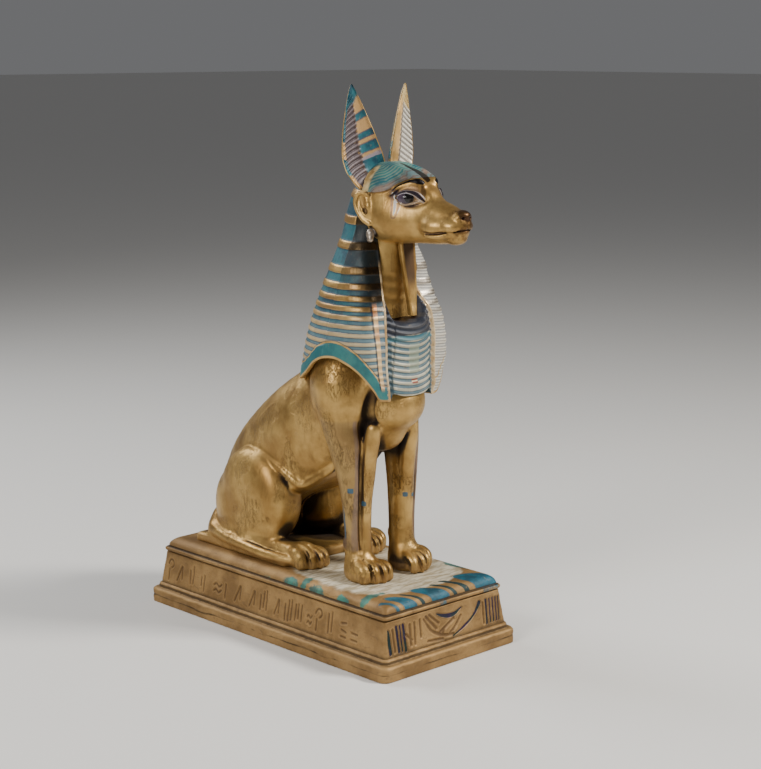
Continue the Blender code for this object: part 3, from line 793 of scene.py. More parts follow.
        marks["nose"] = Ball(at=(0, -207, 393), radii=(9.2, 9.5, 6.4)).distance(near)
        marks["curl"] = Ball(at=(36, -109, 368), radii=(7, 7, 9)).distance(near)
        marks["back"] = near[:, 1]
        marks["cap"] = near[:, 2] - cap_edge(near[:, 1])
        marks["crest"] = near[:, 0]
        return marks


def skin_distance(points: Array, normals: Array, rod: Sequence[tuple[float, float, float, float]]) -> Array:
    """Distance along the skin to a thin rod near it.

    The gap between a point and the rod's nearest stretch loses most of its part along the skin's
    normal, so a rod that hovers or sinks a little still draws its full line.

    Args:
        points: Points of the skin.
        normals: Their outward directions.
        rod: The line's points, each with its half width.

    Returns:
        The distance less the half width there.
    """
    path = through(rod, 6)
    best = np.full(len(points), 99.0)
    for a, b in zip(path[:-1], path[1:]):
        run = b[:3] - a[:3]
        t = np.clip(((points - a[:3]) @ run) / (run @ run + 1e-9), 0.0, 1.0)
        gap = points - a[:3] - t[:, None] * run
        off = np.sum(gap * normals, axis=1)
        sunk = 0.94 * np.minimum(off * off, 64.0)
        flat = np.sqrt(np.maximum(np.sum(gap * gap, axis=1) - sunk, 0.0))
        np.minimum(best, flat - a[3] - t * (b[3] - a[3]), out=best)
    return best


def cap_edge(y: Array) -> Array:
    """Height of the cap's edge along the side of the head."""
    return spread(y, [-172, -160, -148, -138.5, -133, -128, -119.5, -103, -92, -80, -60],
                  [430, 429, 427.5, 424.6, 421, 416.6, 413.4, 412.4, 414, 419, 419])


@dataclass
class Cap(Ball):
    """The part of an ellipsoid that lies above the cap's edge."""

    def distance(self, p: Array) -> Array:
        """The greater of the ellipsoid's distance and the depth below the edge."""
        above = (cap_edge(p[..., 1]) - p[..., 2]) * 0.8
        return np.maximum(super().distance(p), above)


@dataclass
class HeadCloth:
    """The striped head cloth: a bell from crown to arched hem, opened at the throat, with two falls."""

    columns: int = 400
    rows: int = 216
    crown: float = 431.0
    wall: float = 4.0
    hem_roll: float = 1.2
    fall_lift: float = 3.4
    side_lift: float = 3.4
    pleat_depth: float = 0.55
    bib_spacing: float = 6.5
    hem_band: float = 13.5
    inner_rows: int = 24
    crown_wall: float = 6.0
    levels: tuple[float, ...] = (150, 190, 225, 260, 300, 335, 365, 395, 415, 431)
    centre: tuple[float, ...] = (-66, -68, -72, -77, -81, -84, -87, -92, -97, -101)
    wide: tuple[float, ...] = (76, 75, 73, 69.5, 60, 49, 40, 36, 32, 18)
    deep: tuple[float, ...] = (73, 73, 73.5, 72, 62.5, 51.5, 42, 38.5, 34, 20)
    hem_at: tuple[float, ...] = (0, 12, 22, 24.6, 33, 39, 47, 55, 65, 78, 90, 101, 110, 128, 180)
    hem_high: tuple[float, ...] = (202.5, 203.5, 206.5, 199, 200, 210, 222, 232, 240, 244, 242, 235, 224,
                                   213, 205)

    def hem(self, theta: Array) -> Array:
        """Height of the lower edge; theta is in degrees from straight ahead."""
        return spread(theta, self.hem_at, self.hem_high)

    def ring(self, height: Array) -> tuple[Array, Array, Array]:
        """Centre in y and half widths in x and y of the bell at a height."""
        return (spread(height, self.levels, self.centre), spread(height, self.levels, self.wide),
                spread(height, self.levels, self.deep))

    def fall_edge(self, height: Array) -> Array:
        """Distance from the middle to a fall's inner edge at a height."""
        return spread(height, [200, 232, 264, 304, 334, 366, 431], [30.5, 35, 36.5, 33.5, 32, 29.5, 22])

    def throat(self, across: Array, height: Array) -> Array:
        """How deep the throat is drawn back: full above a U-shaped collar and inside the falls."""
        collar = 276.0 + 34.0 * np.clip(np.abs(across) / 35.0, 0, 1) ** 8
        inside = ease(self.fall_edge(height) - np.abs(across), 0.0, 2.6)
        depth = 16.0 + 8.0 * np.clip(np.abs(across) / 30.0, 0, 1) ** 2
        slope = 11.0 * ease(self.fall_edge(height) + 12.0 - np.abs(across), 0.0, 12.0)
        slope = slope * ease(height, 286, 314) * (1 - ease(height, 372, 396)) * (1 - inside)
        return depth * inside * ease(height, collar, collar + 8.0) + slope

    def pleats(self, height: Array) -> tuple[Array, Array]:
        """Count of gold bands down to a height, broad above and fine below, and their spacing there."""
        at = [200, 206, 212, 218, 224, 230, 237, 244, 252, 259.5, 268, 276.5, 285.5, 294.5, 304.5, 316.5,
              332.5, 357, 383, 410, 440]
        count = [21, 20, 19, 18, 17, 16, 15, 14, 13, 12, 11, 10, 9, 8, 7, 6, 5, 4, 3, 2, 1]
        here = spread(height, at, count)
        step = 0.5 / np.maximum(np.abs(spread(height - 0.25, at, count) - spread(height + 0.25, at, count)),
                                1e-3)
        return here, step

    def surface(self, theta: Array, height: Array, out: Array) -> Array:
        """Point of the bell at an angle and height, pushed out by a distance."""
        yc, a, b = self.ring(height)
        return np.stack([(a + out) * np.sin(theta), yc - (b + out) * np.cos(theta), height], -1)

    def set_out(self, angle: Array, height: Array, across: Array) -> tuple[Array, Array]:
        """How far the falls stand out from the bell, and how far the throat is drawn back.

        Args:
            angle: Angle from straight ahead, in radians.
            height: Height of each point.
            across: Distance from the middle, in front; far off behind.

        Returns:
            The push outwards and the throat's depth within it.
        """
        away = np.abs(across)
        edge = self.fall_edge(height)
        lap = away - edge
        lift = self.fall_lift * ease(lap, -0.2, 1.0) * (1 - ease(lap, 10, 46)) * ease(height, 190, 215)
        side_on = ease(away, 30, 54) * ease(height, 214, 240) * (1 - ease(height, 280, 305))
        side_on = side_on * ease(np.cos(angle), 0.15, 0.45)
        lift = lift * (1 - ease(height, 340, 380)) + self.side_lift * side_on
        setback = spread(height, [200, 215, 245, 312, 334, 366, 392], [2.4, 4.4, 9, 9.5, 4, 1.5, 0])
        setback = setback * ease(edge + 20.0 - away, 0.0, 20.0)
        deep = self.throat(across, height)
        return lift - deep - setback, deep

    def relief(self, angle: Array, height: Array, low: Array) -> tuple[Array, dict[str, Array]]:
        """Push the outer face out or in by falls, pleats and borders, and note what the paint needs.

        A pleat's wave follows the distance to the nearest whole number of the running count of
        bands. On the bib, between the falls, the count runs by even steps that sag to the middle.

        Args:
            angle: Angle from straight ahead, in radians.
            height: Height of each point.
            low: The hem's height at each angle.

        Returns:
            The push outwards and the outer face's marks.
        """
        middle = self.surface(angle, height, np.zeros_like(height))[..., 0]
        across = np.where(np.cos(angle) > 0, middle, 99.0 * np.sign(middle + 1e-9))
        lap = np.abs(across) - self.fall_edge(height)
        on_bib = lap < 0
        push, deep = self.set_out(angle, height, across)
        pleat, apart = self.pleats(height + 0.9 * wander(angle * 60.0, height * 0.3, 21, 22.0))
        bib = (286 - height) / self.bib_spacing + 0.9 * (np.abs(across) / 34.0) ** 2
        count = np.where(on_bib, bib, pleat)
        off_line = np.abs(count - np.round(count)) * np.where(on_bib, self.bib_spacing, apart)
        half = spread(height, [200, 262, 300, 340, 440], [1.25, 1.9, 2.6, 3.9, 4.3])
        half = np.where(on_bib, 1.5, half)
        wave = 1.0 - 2.0 * ease(off_line, half - 0.9, half + 0.9)
        rim = height - low
        band = ease(rim, self.hem_band, self.hem_band + 1.5)
        strength = self.pleat_depth * ease(height, 205, 216) * (1 - ease(height, 418, 430))
        strength = strength * np.where(on_bib, 1.25 * (1 - ease(deep, 0.5, 4.0)), band * ease(lap, 2.0, 4.0))
        welt = 0.9 * np.exp(-(lap - 1.2) ** 2 / 1.1) * ease(height, 200, 212)
        border = 0.7 * (1 - band) * (lap > 0)
        marks = {"band": off_line - half, "lap": lap, "rim": rim, "high": height,
                 "shade": np.where(on_bib, deep, 0.0) / 27.0}
        return push + strength * wave + welt + border, marks

    def build(self, finish: bpy.types.Material) -> bpy.types.Object:
        """Lay the cloth's outer face, roll its hem and return up inside.

        The angle runs round the bell and is drawn together towards the front, where the detail is.
        The height runs from the crown to the hem. The roll and the inner wall repeat the hem's marks.

        Args:
            finish: The painted and gilded cloth.

        Returns:
            The piece.
        """
        s = np.linspace(0.0, 2 * math.pi, self.columns, endpoint=False)
        theta = s - 0.42 * np.sin(s)
        low = self.hem(np.degrees(np.minimum(theta, 2 * math.pi - theta)))[None, :]
        height = self.crown + (low - self.crown) * np.linspace(0.0, 1.0, self.rows)[:, None]
        angle = np.broadcast_to(theta[None, :], height.shape)
        out, marks = self.relief(angle, height, low)
        rows = [self.surface(angle, height, out)]
        for push, drop in ((0.3, 0.7), (-0.6, 1.0), (-1.6, 0.6)):
            rows.append(self.surface(angle[-1:], height[-1:] - self.hem_roll * drop, out[-1:] + push))
        back = np.linspace(0.0, 1.0, self.inner_rows)[:, None]
        rise = height[-1:] + (self.crown - self.crown_wall - height[-1:]) * back
        room = self.ring(rise)[1] - 4.0
        inner_angle = np.broadcast_to(theta[None, :], rise.shape)
        inside = -self.wall - 26.0 * ease(rise, 250, 300) - 10.0 * ease(np.cos(inner_angle), 0.5, 0.78)
        rows.append(self.surface(inner_angle, rise, np.maximum(inside, -room)))
        points = np.vstack(rows)
        count = len(points)
        crown_point = np.array([0.0, self.ring(np.array([self.crown]))[0][0], self.crown])
        flat = np.vstack([points.reshape(-1, 3), crown_point, crown_point - [0, 0, self.crown_wall]])
        cap = fan(0, self.columns, len(flat) - 2, True)
        floor = fan((count - 1) * self.columns, self.columns, len(flat) - 1, False)
        triangles = np.vstack([split(grid_faces(count, self.columns)[:, ::-1]), cap, floor])
        marks = with_ends({key: np.vstack([value, np.repeat(value[-1:], count - self.rows, 0)]).ravel()
                           for key, value in marks.items()})
        normals = point_normals(flat, triangles)
        check = self.columns * 40
        if normals[check] @ (flat[check] - crown_point) < 0:
            triangles = triangles[:, ::-1]
        return Mesh(flat, triangles, marks).place("head_cloth", Slot.FIGURE, finish, FIGURE_NODE)


@dataclass
class TallEars:
    """The two tall ears: leaf-shaped shells, round behind, hollowed and ribbed in front."""

    base: tuple[float, float, float] = (27.0, -93.0, 416.0)
    tip: tuple[float, float, float] = (38.4, -84.3, 521.6)
    turn: float = 16.0
    rows: int = 190
    columns: int = 150

    def ear(self, side: int) -> Mesh:
        """One ear as rings up its length.

        A ring runs round the leaf: across is the cosine and lift the sine of its angle. Behind, the
        face bows out by the thickness; in front it dips by the hollow and carries fine ribs.

        Args:
            side: 1 for the left ear, -1 for the right one.

        Returns:
            The ear's mesh with its own marks.
        """
        base = np.array(self.base) * [side, 1, 1]
        tip = np.array(self.tip) * [side, 1, 1]
        length = float(np.linalg.norm(tip - base))
        rise = (tip - base) / length
        angle = math.radians(self.turn)
        front = np.array([math.sin(angle) * side, -math.cos(angle), 0.0])
        front = front - rise * (front @ rise)
        front = front / np.linalg.norm(front)
        across_dir = np.cross(rise, front)
        share = np.linspace(-0.02, 1.0, self.rows)[:, None]
        known = [-0.02, 0.04, 0.12, 0.2, 0.28, 0.45, 0.62, 0.78, 0.9, 1.0]
        half = spread(share, known, [14, 18, 21.8, 23.6, 23.6, 20.4, 15.6, 10.0, 5.5, 0.9])
        thick = spread(share, known, [11, 11.5, 11.2, 10.6, 9.8, 8.6, 7.2, 5.4, 3.8, 0.8])
        hollow = thick * spread(share, [-0.02, 0.08, 0.2, 0.35, 0.8, 1.0],
                                [-0.7, 0.0, 0.4, 0.46, 0.34, 0.0])
        shift = spread(share, [-0.02, 0.1, 0.25, 0.45, 1.0], [9.0, 6.5, 3.0, 0.8, 0.0]) * side * -1.0
        phi = np.linspace(0.0, 2 * math.pi, self.columns, endpoint=False)[None, :]
        across = np.cos(phi)
        lift = np.sin(phi)
        ahead = ease(lift, 0.0, 0.12)
        outer = across * side
        count = share * 20 - 2.4 * np.sqrt(np.clip(1 - outer, 0.0, 1.0))
        rib = np.cos(2 * math.pi * count)
        ribs = 0.7 * rib * ahead * ease(share, 0.04, 0.12) * (1 - ease(share, 0.86, 0.97))
        ribs = ribs * ease(1 - np.abs(across), 0.08, 0.16) * ease(outer, -0.12, 0.12)
        crest = 1.1 * np.exp(-((outer + 0.02) / 0.1) ** 2) * ahead * ease(share, 0.15, 0.35) * (1 - share)
        rim = 0.8 * np.exp(-((np.abs(across) - 0.93) / 0.05) ** 2) * ahead
        face = np.where(lift < 0, -thick * np.abs(lift), -hollow * np.abs(lift) ** 1.5)
        face = face + ribs + crest + rim
        points = (base + rise * (share[..., None] * length)
                  + across_dir * (across * half + shift)[..., None]
                  + front * face[..., None])
        root = base - rise * 0.02 * length + across_dir * shift[0, 0]
        flat = np.vstack([points.reshape(-1, 3), root, tip])
        marks = {"across": outer, "left": float(side > 0), "up": share, "ahead": ahead, "rib": count}
        marks = with_ends({key: np.broadcast_to(value, points.shape[:2]).ravel()
                           for key, value in marks.items()})
        foot = fan(0, self.columns, len(flat) - 2, False)
        peak = fan((self.rows - 1) * self.columns, self.columns, len(flat) - 1, True)
        triangles = np.vstack([split(grid_faces(self.rows, self.columns)), foot, peak])
        normals = point_normals(flat, triangles)
        middle = self.columns * (self.rows // 2) + 3 * self.columns // 4
        if normals[middle] @ front > 0:
            triangles = triangles[:, ::-1]
        return Mesh(flat, triangles, marks)

    def build(self, finish: bpy.types.Material) -> None:
        """Place both ears."""
        self.ear(1).place("ear_left", Slot.FIGURE, finish, FIGURE_NODE)
        self.ear(-1).place("ear_right", Slot.FIGURE, finish, FIGURE_NODE)


@dataclass
class Beard:
    """The straight beard below the chin: a strap that narrows downwards, dished between raised edges."""

    path: tuple[tuple[float, float, float, float], ...] = (
        (0, -126, 362, 10.4), (0, -128.5, 344, 9.8), (0, -132, 316, 7.2), (0, -134.5, 295, 4.6),
        (0, -135.3, 286, 4.0))
    thick: float = 4.2
    dish: float = 1.7
    steps: int = 30
    sides: int = 72

    def build(self, finish: bpy.types.Material) -> bpy.types.Object:
        """Carry a squarish ring along the path, dish its front face and close both ends.

        Args:
            finish: The gilding.

        Returns:
            The piece.
        """
        curve = through(self.path, self.steps)
        phi = np.linspace(0, 2 * math.pi, self.sides, endpoint=False)[None, :]
        wide, deep = np.cos(phi), np.sin(phi)
        across = np.sign(wide) * np.abs(wide) ** 0.6
        out = np.sign(deep) * np.abs(deep) ** 0.6
        z = np.broadcast_to(curve[:, 2:3], (len(curve), self.sides))
        dished = ease(1 - np.abs(across), 0.1, 0.42) * (deep < 0)
        x = curve[:, 3:4] * across
        y = curve[:, 1:2] + self.thick * out + self.dish * dished * ease(z, 286, 300)
        points = np.stack([x, y, z], -1)
        flat = np.vstack([points.reshape(-1, 3), curve[0, :3], curve[-1, :3] - [0, 0, 1.0]])
        top = fan(0, self.sides, len(flat) - 2, False)
        foot = fan((len(curve) - 1) * self.sides, self.sides, len(flat) - 1, True)
        triangles = np.vstack([split(grid_faces(len(curve), self.sides)), top, foot])[:, ::-1]
        normals = point_normals(flat, triangles)
        if normals[self.sides * 10][0] * flat[self.sides * 10][0] < 0:
            triangles = triangles[:, ::-1]
        hollow = (dished * ease(z, 284, 330) * 0.85).ravel()
        marks = {"hollow": np.append(hollow, [0.0, 0.0])}
        return Mesh(flat, triangles, marks).place("beard", Slot.FIGURE, finish, FIGURE_NODE)


# The plinth


def wander(x: Array, y: Array, seed: int, size: float, waves: int = 6) -> Array:
    """A smooth, seeded unevenness between about -1 and 1: a sum of slanted sine waves."""
    rng = np.random.default_rng(seed)
    total = np.zeros(np.broadcast(x, y).shape)
    for _ in range(waves):
        a, b = rng.normal(0, 1.0 / size, 2)
        total = total + np.sin(a * x + b * y + rng.uniform(0, 2 * math.pi))
    return total / math.sqrt(waves * 0.5) * 0.5


def stroke_distance(x: Array, y: Array, strokes: Sequence[tuple]) -> Array:
    """Signed distance to the nearest stroke: distance to its straight line less its half width."""
    best = np.full(np.broadcast(x, y).shape, 50.0)
    for x0, y0, x1, y1, half in strokes:
        run = np.array([x1 - x0, y1 - y0])
        t = np.clip(((x - x0) * run[0] + (y - y0) * run[1]) / (run @ run + 1e-9), 0, 1)
        np.minimum(best, np.hypot(x - x0 - t * run[0], y - y0 - t * run[1]) - half, out=best)
    return best


def arc_strokes(points: Sequence[tuple[float, float, float]], steps: int = 8) -> list[tuple]:
    """Short strokes along a smooth curve through (x, y, half width)."""
    path = through(points, steps)
    return [(a[0], a[1], b[0], b[1], 0.5 * (a[2] + b[2])) for a, b in zip(path[:-1], path[1:])]


@dataclass
class Plinth:
    """The stepped plinth: slab, battered wall with shallow strokes, round moulding, painted cushion."""

    width: float = 200.0
    length: float = 397.0
    height: float = 76.0
    corner: float = 10.0
    wall_corner: float = 4.5
    wall_low: float = 9.0
    wall_high: float = 14.0
    wall_foot: float = 22.5
    wall_top: float = 58.5
    moulding_top: float = 65.5
    cushion: float = 10.5
    stroke_depth: float = 0.9
    inlay_depth: float = 1.0
    crack_depth: float = 0.7
    foot_columns: int = 1040
    wall_columns: int = 1640
    wall_rows: int = 54
    top_columns: int = 1000
    top_rows: int = 58

    def ring(self, inset: Array, height: Array, columns: int,
             corners: Array | float) -> tuple[Array, Array, Array]:
        """Rounded rectangles, one per row.

        A column walks round the rectangle's middle line: straight along a side, or round a corner
        whose centre lies a corner radius inside. Its place is that centre plus the outward
        direction times the radius.

        Args:
            inset: How far each row lies inside the slab's edge.
            height: Height of each row above the underside.
            columns: Points round a row.
            corners: Corner radius, one for all rows or one for each.

        Returns:
            Points, the outward direction and the distance walked, one per grid point.
        """
        r = self.corner
        half_x = 0.5 * self.width - r
        half_y = 0.5 * self.length - r
        quarter = 0.5 * math.pi * r
        legs = [2 * half_y, quarter, 2 * half_x, quarter, 2 * half_y, quarter, 2 * half_x, quarter]
        total = sum(legs)
        s = np.linspace(0.0, total, columns, endpoint=False)
        starts = np.concatenate([[0.0], np.cumsum(legs)])
        leg = np.clip(np.searchsorted(starts, s, side="right") - 1, 0, 7)
        along = s - starts[leg]
        turns = np.array([180.0, 180.0, 270.0, 270.0, 0.0, 0.0, 90.0, 90.0])
        bend = np.where(leg % 2 == 1, along / r, 0.0)
        angle = np.radians(turns[leg]) + bend
        out = np.stack([np.cos(angle), np.sin(angle)], -1)
        corner_x = np.array([-1, -1, -1, 1, 1, 1, 1, -1])[leg] * half_x
        corner_y = np.array([1, -1, -1, -1, -1, 1, 1, 1])[leg] * half_y
        step_x = np.array([0, 0, 1, 0, 0, 0, -1, 0])[leg] * along
        step_y = np.array([-1, 0, 0, 0, 1, 0, 0, 0])[leg] * along
        core = np.stack([corner_x + step_x, corner_y + step_y], -1)
        bends = np.broadcast_to(np.asarray(corners, float), np.shape(inset))[:, None]
        scale = (np.array([0.5 * self.width, 0.5 * self.length]) - np.asarray(inset)[:, None]
                 - bends) / np.array([half_x, half_y])
        flat = core[None] * scale[:, None, :] + out[None] * bends[..., None]
        rows = len(inset)
        points = np.dstack([flat, np.broadcast_to(np.asarray(height)[:, None], (rows, columns))])
        way = np.broadcast_to(np.column_stack([out, np.zeros(columns)])[None], points.shape)
        return points, way, np.broadcast_to(s[None], (rows, columns))

    def row_of_strokes(self) -> list[tuple]:
        """A made-up row of short upright, level and slanted strokes along one long side.

        Returns:
            Strokes as (start along, start up, end along, end up, half width), from the back corner.
        """
        rng = np.random.default_rng(41)
        strokes = []
        at = 22.0
        while at < 352.0:
            kind = rng.integers(0, 6)
            wide = rng.uniform(7.0, 14.0)
            if kind in (0, 1):
                for k in range(int(rng.integers(1, 4))):
                    low, high = rng.uniform(27, 34), rng.uniform(42, 53)
                    strokes.append((at + 5.0 * k, low, at + 5.0 * k + rng.normal(0, 0.6), high, 0.8))
                wide = 12.0
            elif kind == 2:
                for level in (31.0, 38.0, 45.0)[:int(rng.integers(2, 4))]:
                    strokes.append((at, level, at + wide, level + rng.normal(0, 0.8), 0.8))
            elif kind == 3:
                arc = [(at, 46, 0.8), (at + 3, 51, 0.9), (at + 8, 50.5, 0.9), (at + 9.5, 45.5, 0.8),
                       (at + 6, 42, 0.7)]
                strokes.extend(arc_strokes(arc, 4))
                strokes.append((at + 2, 28, at + 2.5, 40, 0.8))
            elif kind == 4:
                for level in (33.0, 39.5):
                    arc = [(at, level, 0.7), (at + wide * 0.3, level + 2.2, 0.9),
                           (at + wide * 0.65, level - 0.8, 0.9), (at + wide, level + 2.4, 0.7)]
                    strokes.extend(arc_strokes(arc, 4))
            else:
                strokes.append((at, 30, at + wide * 0.6, 47, 0.8))
                strokes.append((at + wide * 0.7, 47, at + wide * 0.7, 33, 0.8))
            at += wide + rng.uniform(4.0, 13.0)
        return strokes

    def front_marks(self) -> tuple[list[tuple], list[tuple]]:
        """Front panel: raised outlines, and dark inlaid bars and bows, as (x, z) strokes."""
        dark = [(-81.5, 26.5, -83.0, 49.0, 2.0), (-69.3, 26.0, -70.6, 52.0, 1.4),
                (-64.6, 25.5, -65.6, 52, 0.9), (-59.5, 25, -61.0, 52, 1.5)]
        dark += arc_strokes([(-11.5, 52.6, 0.6), (-4, 49.4, 1.6), (6, 47.4, 2.3), (16, 48.2, 1.7),
                             (25, 52.0, 0.6)], 8)
        dark += arc_strokes([(52.6, 51.0, 2.3), (47, 44.0, 1.6), (40, 37.8, 1.2), (30, 32.6, 1.2),
                             (18, 27.6, 0.9), (10, 25.0, 0.7)], 8)
        dark += [(x, 27.0, x + 0.8, 52.0, half) for x, half in
                 ((62, 1.2), (67.5, 0.8), (72.5, 0.9), (77, 0.8), (81.0, 0.7))]
        relief = [(-75.5, 27, -76.5, 50, 1.0), (-52, 29, -52, 50, 1.3), (-46, 29, -45, 51, 1.0),
                  (-37, 34, -37, 52, 1.0), (-58, 41, -50, 34, 1.1), (-28, 53, -14, 38, 1.3),
                  (-23, 54, -10, 43, 1.0), (-9, 33, 12, 43, 1.3), (-6, 30, -2, 37, 1.0),
                  (-28, 27.5, -6, 25.5, 1.1), (57, 28, 57.5, 50, 0.9)]
        relief += arc_strokes([(-31, 51, 1.1), (-21, 37, 1.4), (-3, 28.5, 1.4), (10, 27.5, 1.1)], 6)
        relief += arc_strokes([(23, 44, 1.1), (13, 34, 1.4), (5, 29, 1.1)], 6)
        return relief, dark

    def build_foot(self, finish: bpy.types.Material) -> bpy.types.Object:
        """Slab and step: the profile's rows from the underside's middle line to inside the wall.

        Args:
            finish: The matt gold.

        Returns:
            The piece.
        """
        inset = [14.0, 4.0, 1.5, 0.5, 0.1, 0, 0, 0, 0, 0, 0, 0.05, 0.3, 0.9, 1.7, 3.0, 4.4, 5.6, 5.75,
                 5.9, 6.3, 7.0, 7.9, 8.8, 9.2, 10.5, 14.0]
        bends = np.clip(spread(np.array(inset), [0, 5, 9.5, 15], [10.0, 9.0, 4.5, 4.5]), 4.5, 10.0)
        high = [0.0, 0.0, 0.05, 0.5, 1.4, 2.8, 4.6, 6.4, 8.2, 10, 11.6, 13.0, 14.4, 15.3, 16.1, 16.6,
                16.8, 16.9, 17.8, 19.4, 20.8, 21.6, 22.1, 22.3, 22.4, 22.5, 22.5]
        points, way, along = self.ring(np.array(inset), np.array(high), self.foot_columns, bends)
        z = points[..., 2]
        edge = (z > 1.0) & (z < 22.2)
        worn = 0.35 * wander(along, z * 3, 3, 9.0) + 0.25 * wander(along, z, 4, 3.5)
        worn = (worn - 0.45) * edge
        crack_line = 8.3 + 1.2 * wander(along, along * 0, 5, 14.0)
        crack = np.abs(z - crack_line) - 0.25 - 0.5 * wander(along, along * 0, 6, 20.0)
        cut = -self.crack_depth * (1 - ease(crack, -0.3, 0.9)) * edge
        points = points + way * (worn + cut)[..., None]
        return self.closed("plinth_foot", points, {"crack": crack}, finish)

    def build_wall(self, finish: bpy.types.Material) -> bpy.types.Object:
        """The battered wall, finely divided, with strokes cut in; it closes on itself inside.

        Args:
            finish: The matt gold.

        Returns:
            The piece.
        """
        columns = self.wall_columns
        up = np.linspace(0.0, 1.0, self.wall_rows)
        inset = np.concatenate([self.wall_low + (self.wall_high - self.wall_low) * up, [24, 24]])
        high = np.concatenate([self.wall_foot - 0.4 + (self.wall_top + 0.8 - self.wall_foot) * up,
                               [self.wall_top, self.wall_foot]])
        points, way, along = self.ring(inset, high, columns, self.wall_corner)
        x, y, z = points[..., 0], points[..., 1], points[..., 2]
        side_row = self.row_of_strokes()
        on_right, on_left, on_front = (ease(facing, 0.95, 0.999) > 0.5
                                       for facing in (-way[..., 0], way[..., 0], -way[..., 1]))
        from_back = 0.5 * self.length - y
        right = stroke_distance(from_back, z, side_row)
        left = stroke_distance(from_back, z, [(380 - a, b, 380 - c, d, e) for a, b, c, d, e in side_row])
        relief, dark = self.front_marks()
        front = stroke_distance(x, z, relief)
        inlay = np.where(on_front, stroke_distance(x, z, dark), FAR)
        strokes = np.select([on_right, on_left, on_front], [right, left, front], FAR)
        cut = 1 - ease(strokes, -0.6, 0.9)
        lip = np.exp(-((strokes - 1.7) / 0.7) ** 2)
        sunk = 1 - ease(inlay, -0.5, 0.7)
        uneven = 0.22 * wander(along, z * 2.5, 7, 8.0) + 0.12 * wander(along, z, 8, 3.0)
        live = ease(z, 22.6, 23.4) * (1 - ease(z, 57.6, 58.4)) * (np.asarray(inset) < 20)[:, None]
        push = live * (uneven - 0.25 - self.stroke_depth * cut + 0.35 * lip - self.inlay_depth * sunk)
        points = points + way * push[..., None]
        last = (len(points) - 1) * columns
        ring = np.arange(columns)
        ahead = (ring + 1) % columns
        join = np.stack([last + ring, last + ahead, ahead, ring], 1)
        faces = np.vstack([grid_faces(len(points), columns), join])
        mesh = Mesh(points.reshape(-1, 3) - [0, 0, self.height], faces,
                    {"stroke": strokes.ravel(), "inlay": inlay.ravel()})
        return mesh.place("plinth_wall", Slot.PLINTH, finish, PLINTH_NODE)

    def build_top(self, finish: bpy.types.Material) -> bpy.types.Object:
        """The round moulding, the cushion's rounded edge and its flat top, painted in bands.

        The moulding's profile is a half circle, the cushion's edge a quarter of an ellipse, and the
        rows beyond run in evenly to the middle line.

        Args:
            finish: The painted cushion.

        Returns:
            The piece.
        """
        base = self.wall_high + 1.0
        low = self.wall_top + 1.8
        mid = 0.5 * (low + self.moulding_top)
        half = self.moulding_top - mid
        swing = np.linspace(-0.5 * math.pi, 0.5 * math.pi, 13)
        inset = [40.0, self.wall_high + 1.4, self.wall_high + 1.4]
        high = [self.wall_top - 1.5, self.wall_top - 1.5, low - 0.2]
        inset += list(base - 2.6 * np.cos(swing))
        high += list(mid + half * np.sin(swing))
        curve = np.linspace(0.0, 0.5 * math.pi, 22)
        start = self.wall_high + 1.2
        inset += list(start + self.cushion * 1.2 * (1 - np.cos(curve)))
        high += list(self.height - self.cushion + self.cushion * np.sin(curve))
        edge = inset[-1]
        inset += list(edge + (0.5 * self.width - self.corner - edge) * np.linspace(0.02, 1, self.top_rows))
        high += [self.height] * self.top_rows
        bends = np.clip(spread(np.array(inset), [12, 16, 30, 60], [5.0, 5.5, 10.0, 10.0]), 4.5, 10.0)
        points, way, along = self.ring(np.array(inset), np.array(high), self.top_columns, bends)
        x, y, z = points[..., 0], points[..., 1], points[..., 2]
        marks = self.paint(x, y, z)
        swell = 0.25 * wander(along, z * 3, 9, 9.0) * ease(z, 60.0, 61.5) * (1 - ease(z, 74.0, 75.9))
        seam = -0.5 * np.exp(-((z - 66.0) / 0.7) ** 2)
        points = points + way * (swell - 0.2 + seam)[..., None] * (np.array(inset) < 60)[:, None, None]
        return self.closed("plinth_top", points, marks, finish)

    def paint(self, x: Array, y: Array, z: Array) -> dict[str, Array]:
        """Where the cushion is painted: distances into the pale cloth and the teal and dark bands.

        The bands run front to back and slide sideways as they go over the front edge. Each is a
        pair of edges across; the distance into it is the lesser of the two, and it ends in a rounded
        tongue behind.
        """
        front = -0.5 * self.length + self.wall_high
        over = np.clip(y - front, 0, 60)
        slide = x - 13.0 * (1 - ease(over, -2.0, 16.0)) + 0.022 * np.maximum(over - 8, 0) ** 2
        slide = slide + 1.1 * wander(x, y, 12, 11.0)
        bands = {"teal": ((-80, -75, 17), (-68, -50, 23), (-28, -2, 25), (38, 77, 30)),
                 "deep": ((-44, -38.5, 22), (4.5, 10.5, 24), (22, 29, 27))}
        marks = {key: np.clip(np.max([self.tongue(slide, over, *band) for band in rows], 0), -FAR, FAR)
                 for key, rows in bands.items()}
        past_ends = np.maximum(-122 - y, 0.0) * 1.05 + np.maximum(y + 60, 0) * 0.55
        cloth = 47.0 - np.hypot(x / 1.62, past_ends) + 2.0 * wander(x, y, 13, 12.0)
        blots = np.full(x.shape, -FAR)
        for cx, cy, rx, ry in ((-86, -34, 7, 12), (-88, -78, 7, 14), (-87, -118, 6, 10), (-89, 10, 3.2, 26),
                               (-70, -148, 14, 5), (78, -128, 9, 20), (86, -150, 8, 16), (-78, -56, 9, 5)):
            blots = np.maximum(blots, (1 - np.hypot((x - cx) / rx, (y - cy) / ry)) * min(rx, ry))
        marks["cloth"] = cloth
        marks["blots"] = blots + 1.4 * wander(x, y, 14, 6.0)
        outside = np.where(ease(z, 66.0, 67.0) > 0.5, 0.0, -FAR)
        return {key: value + outside for key, value in marks.items()}

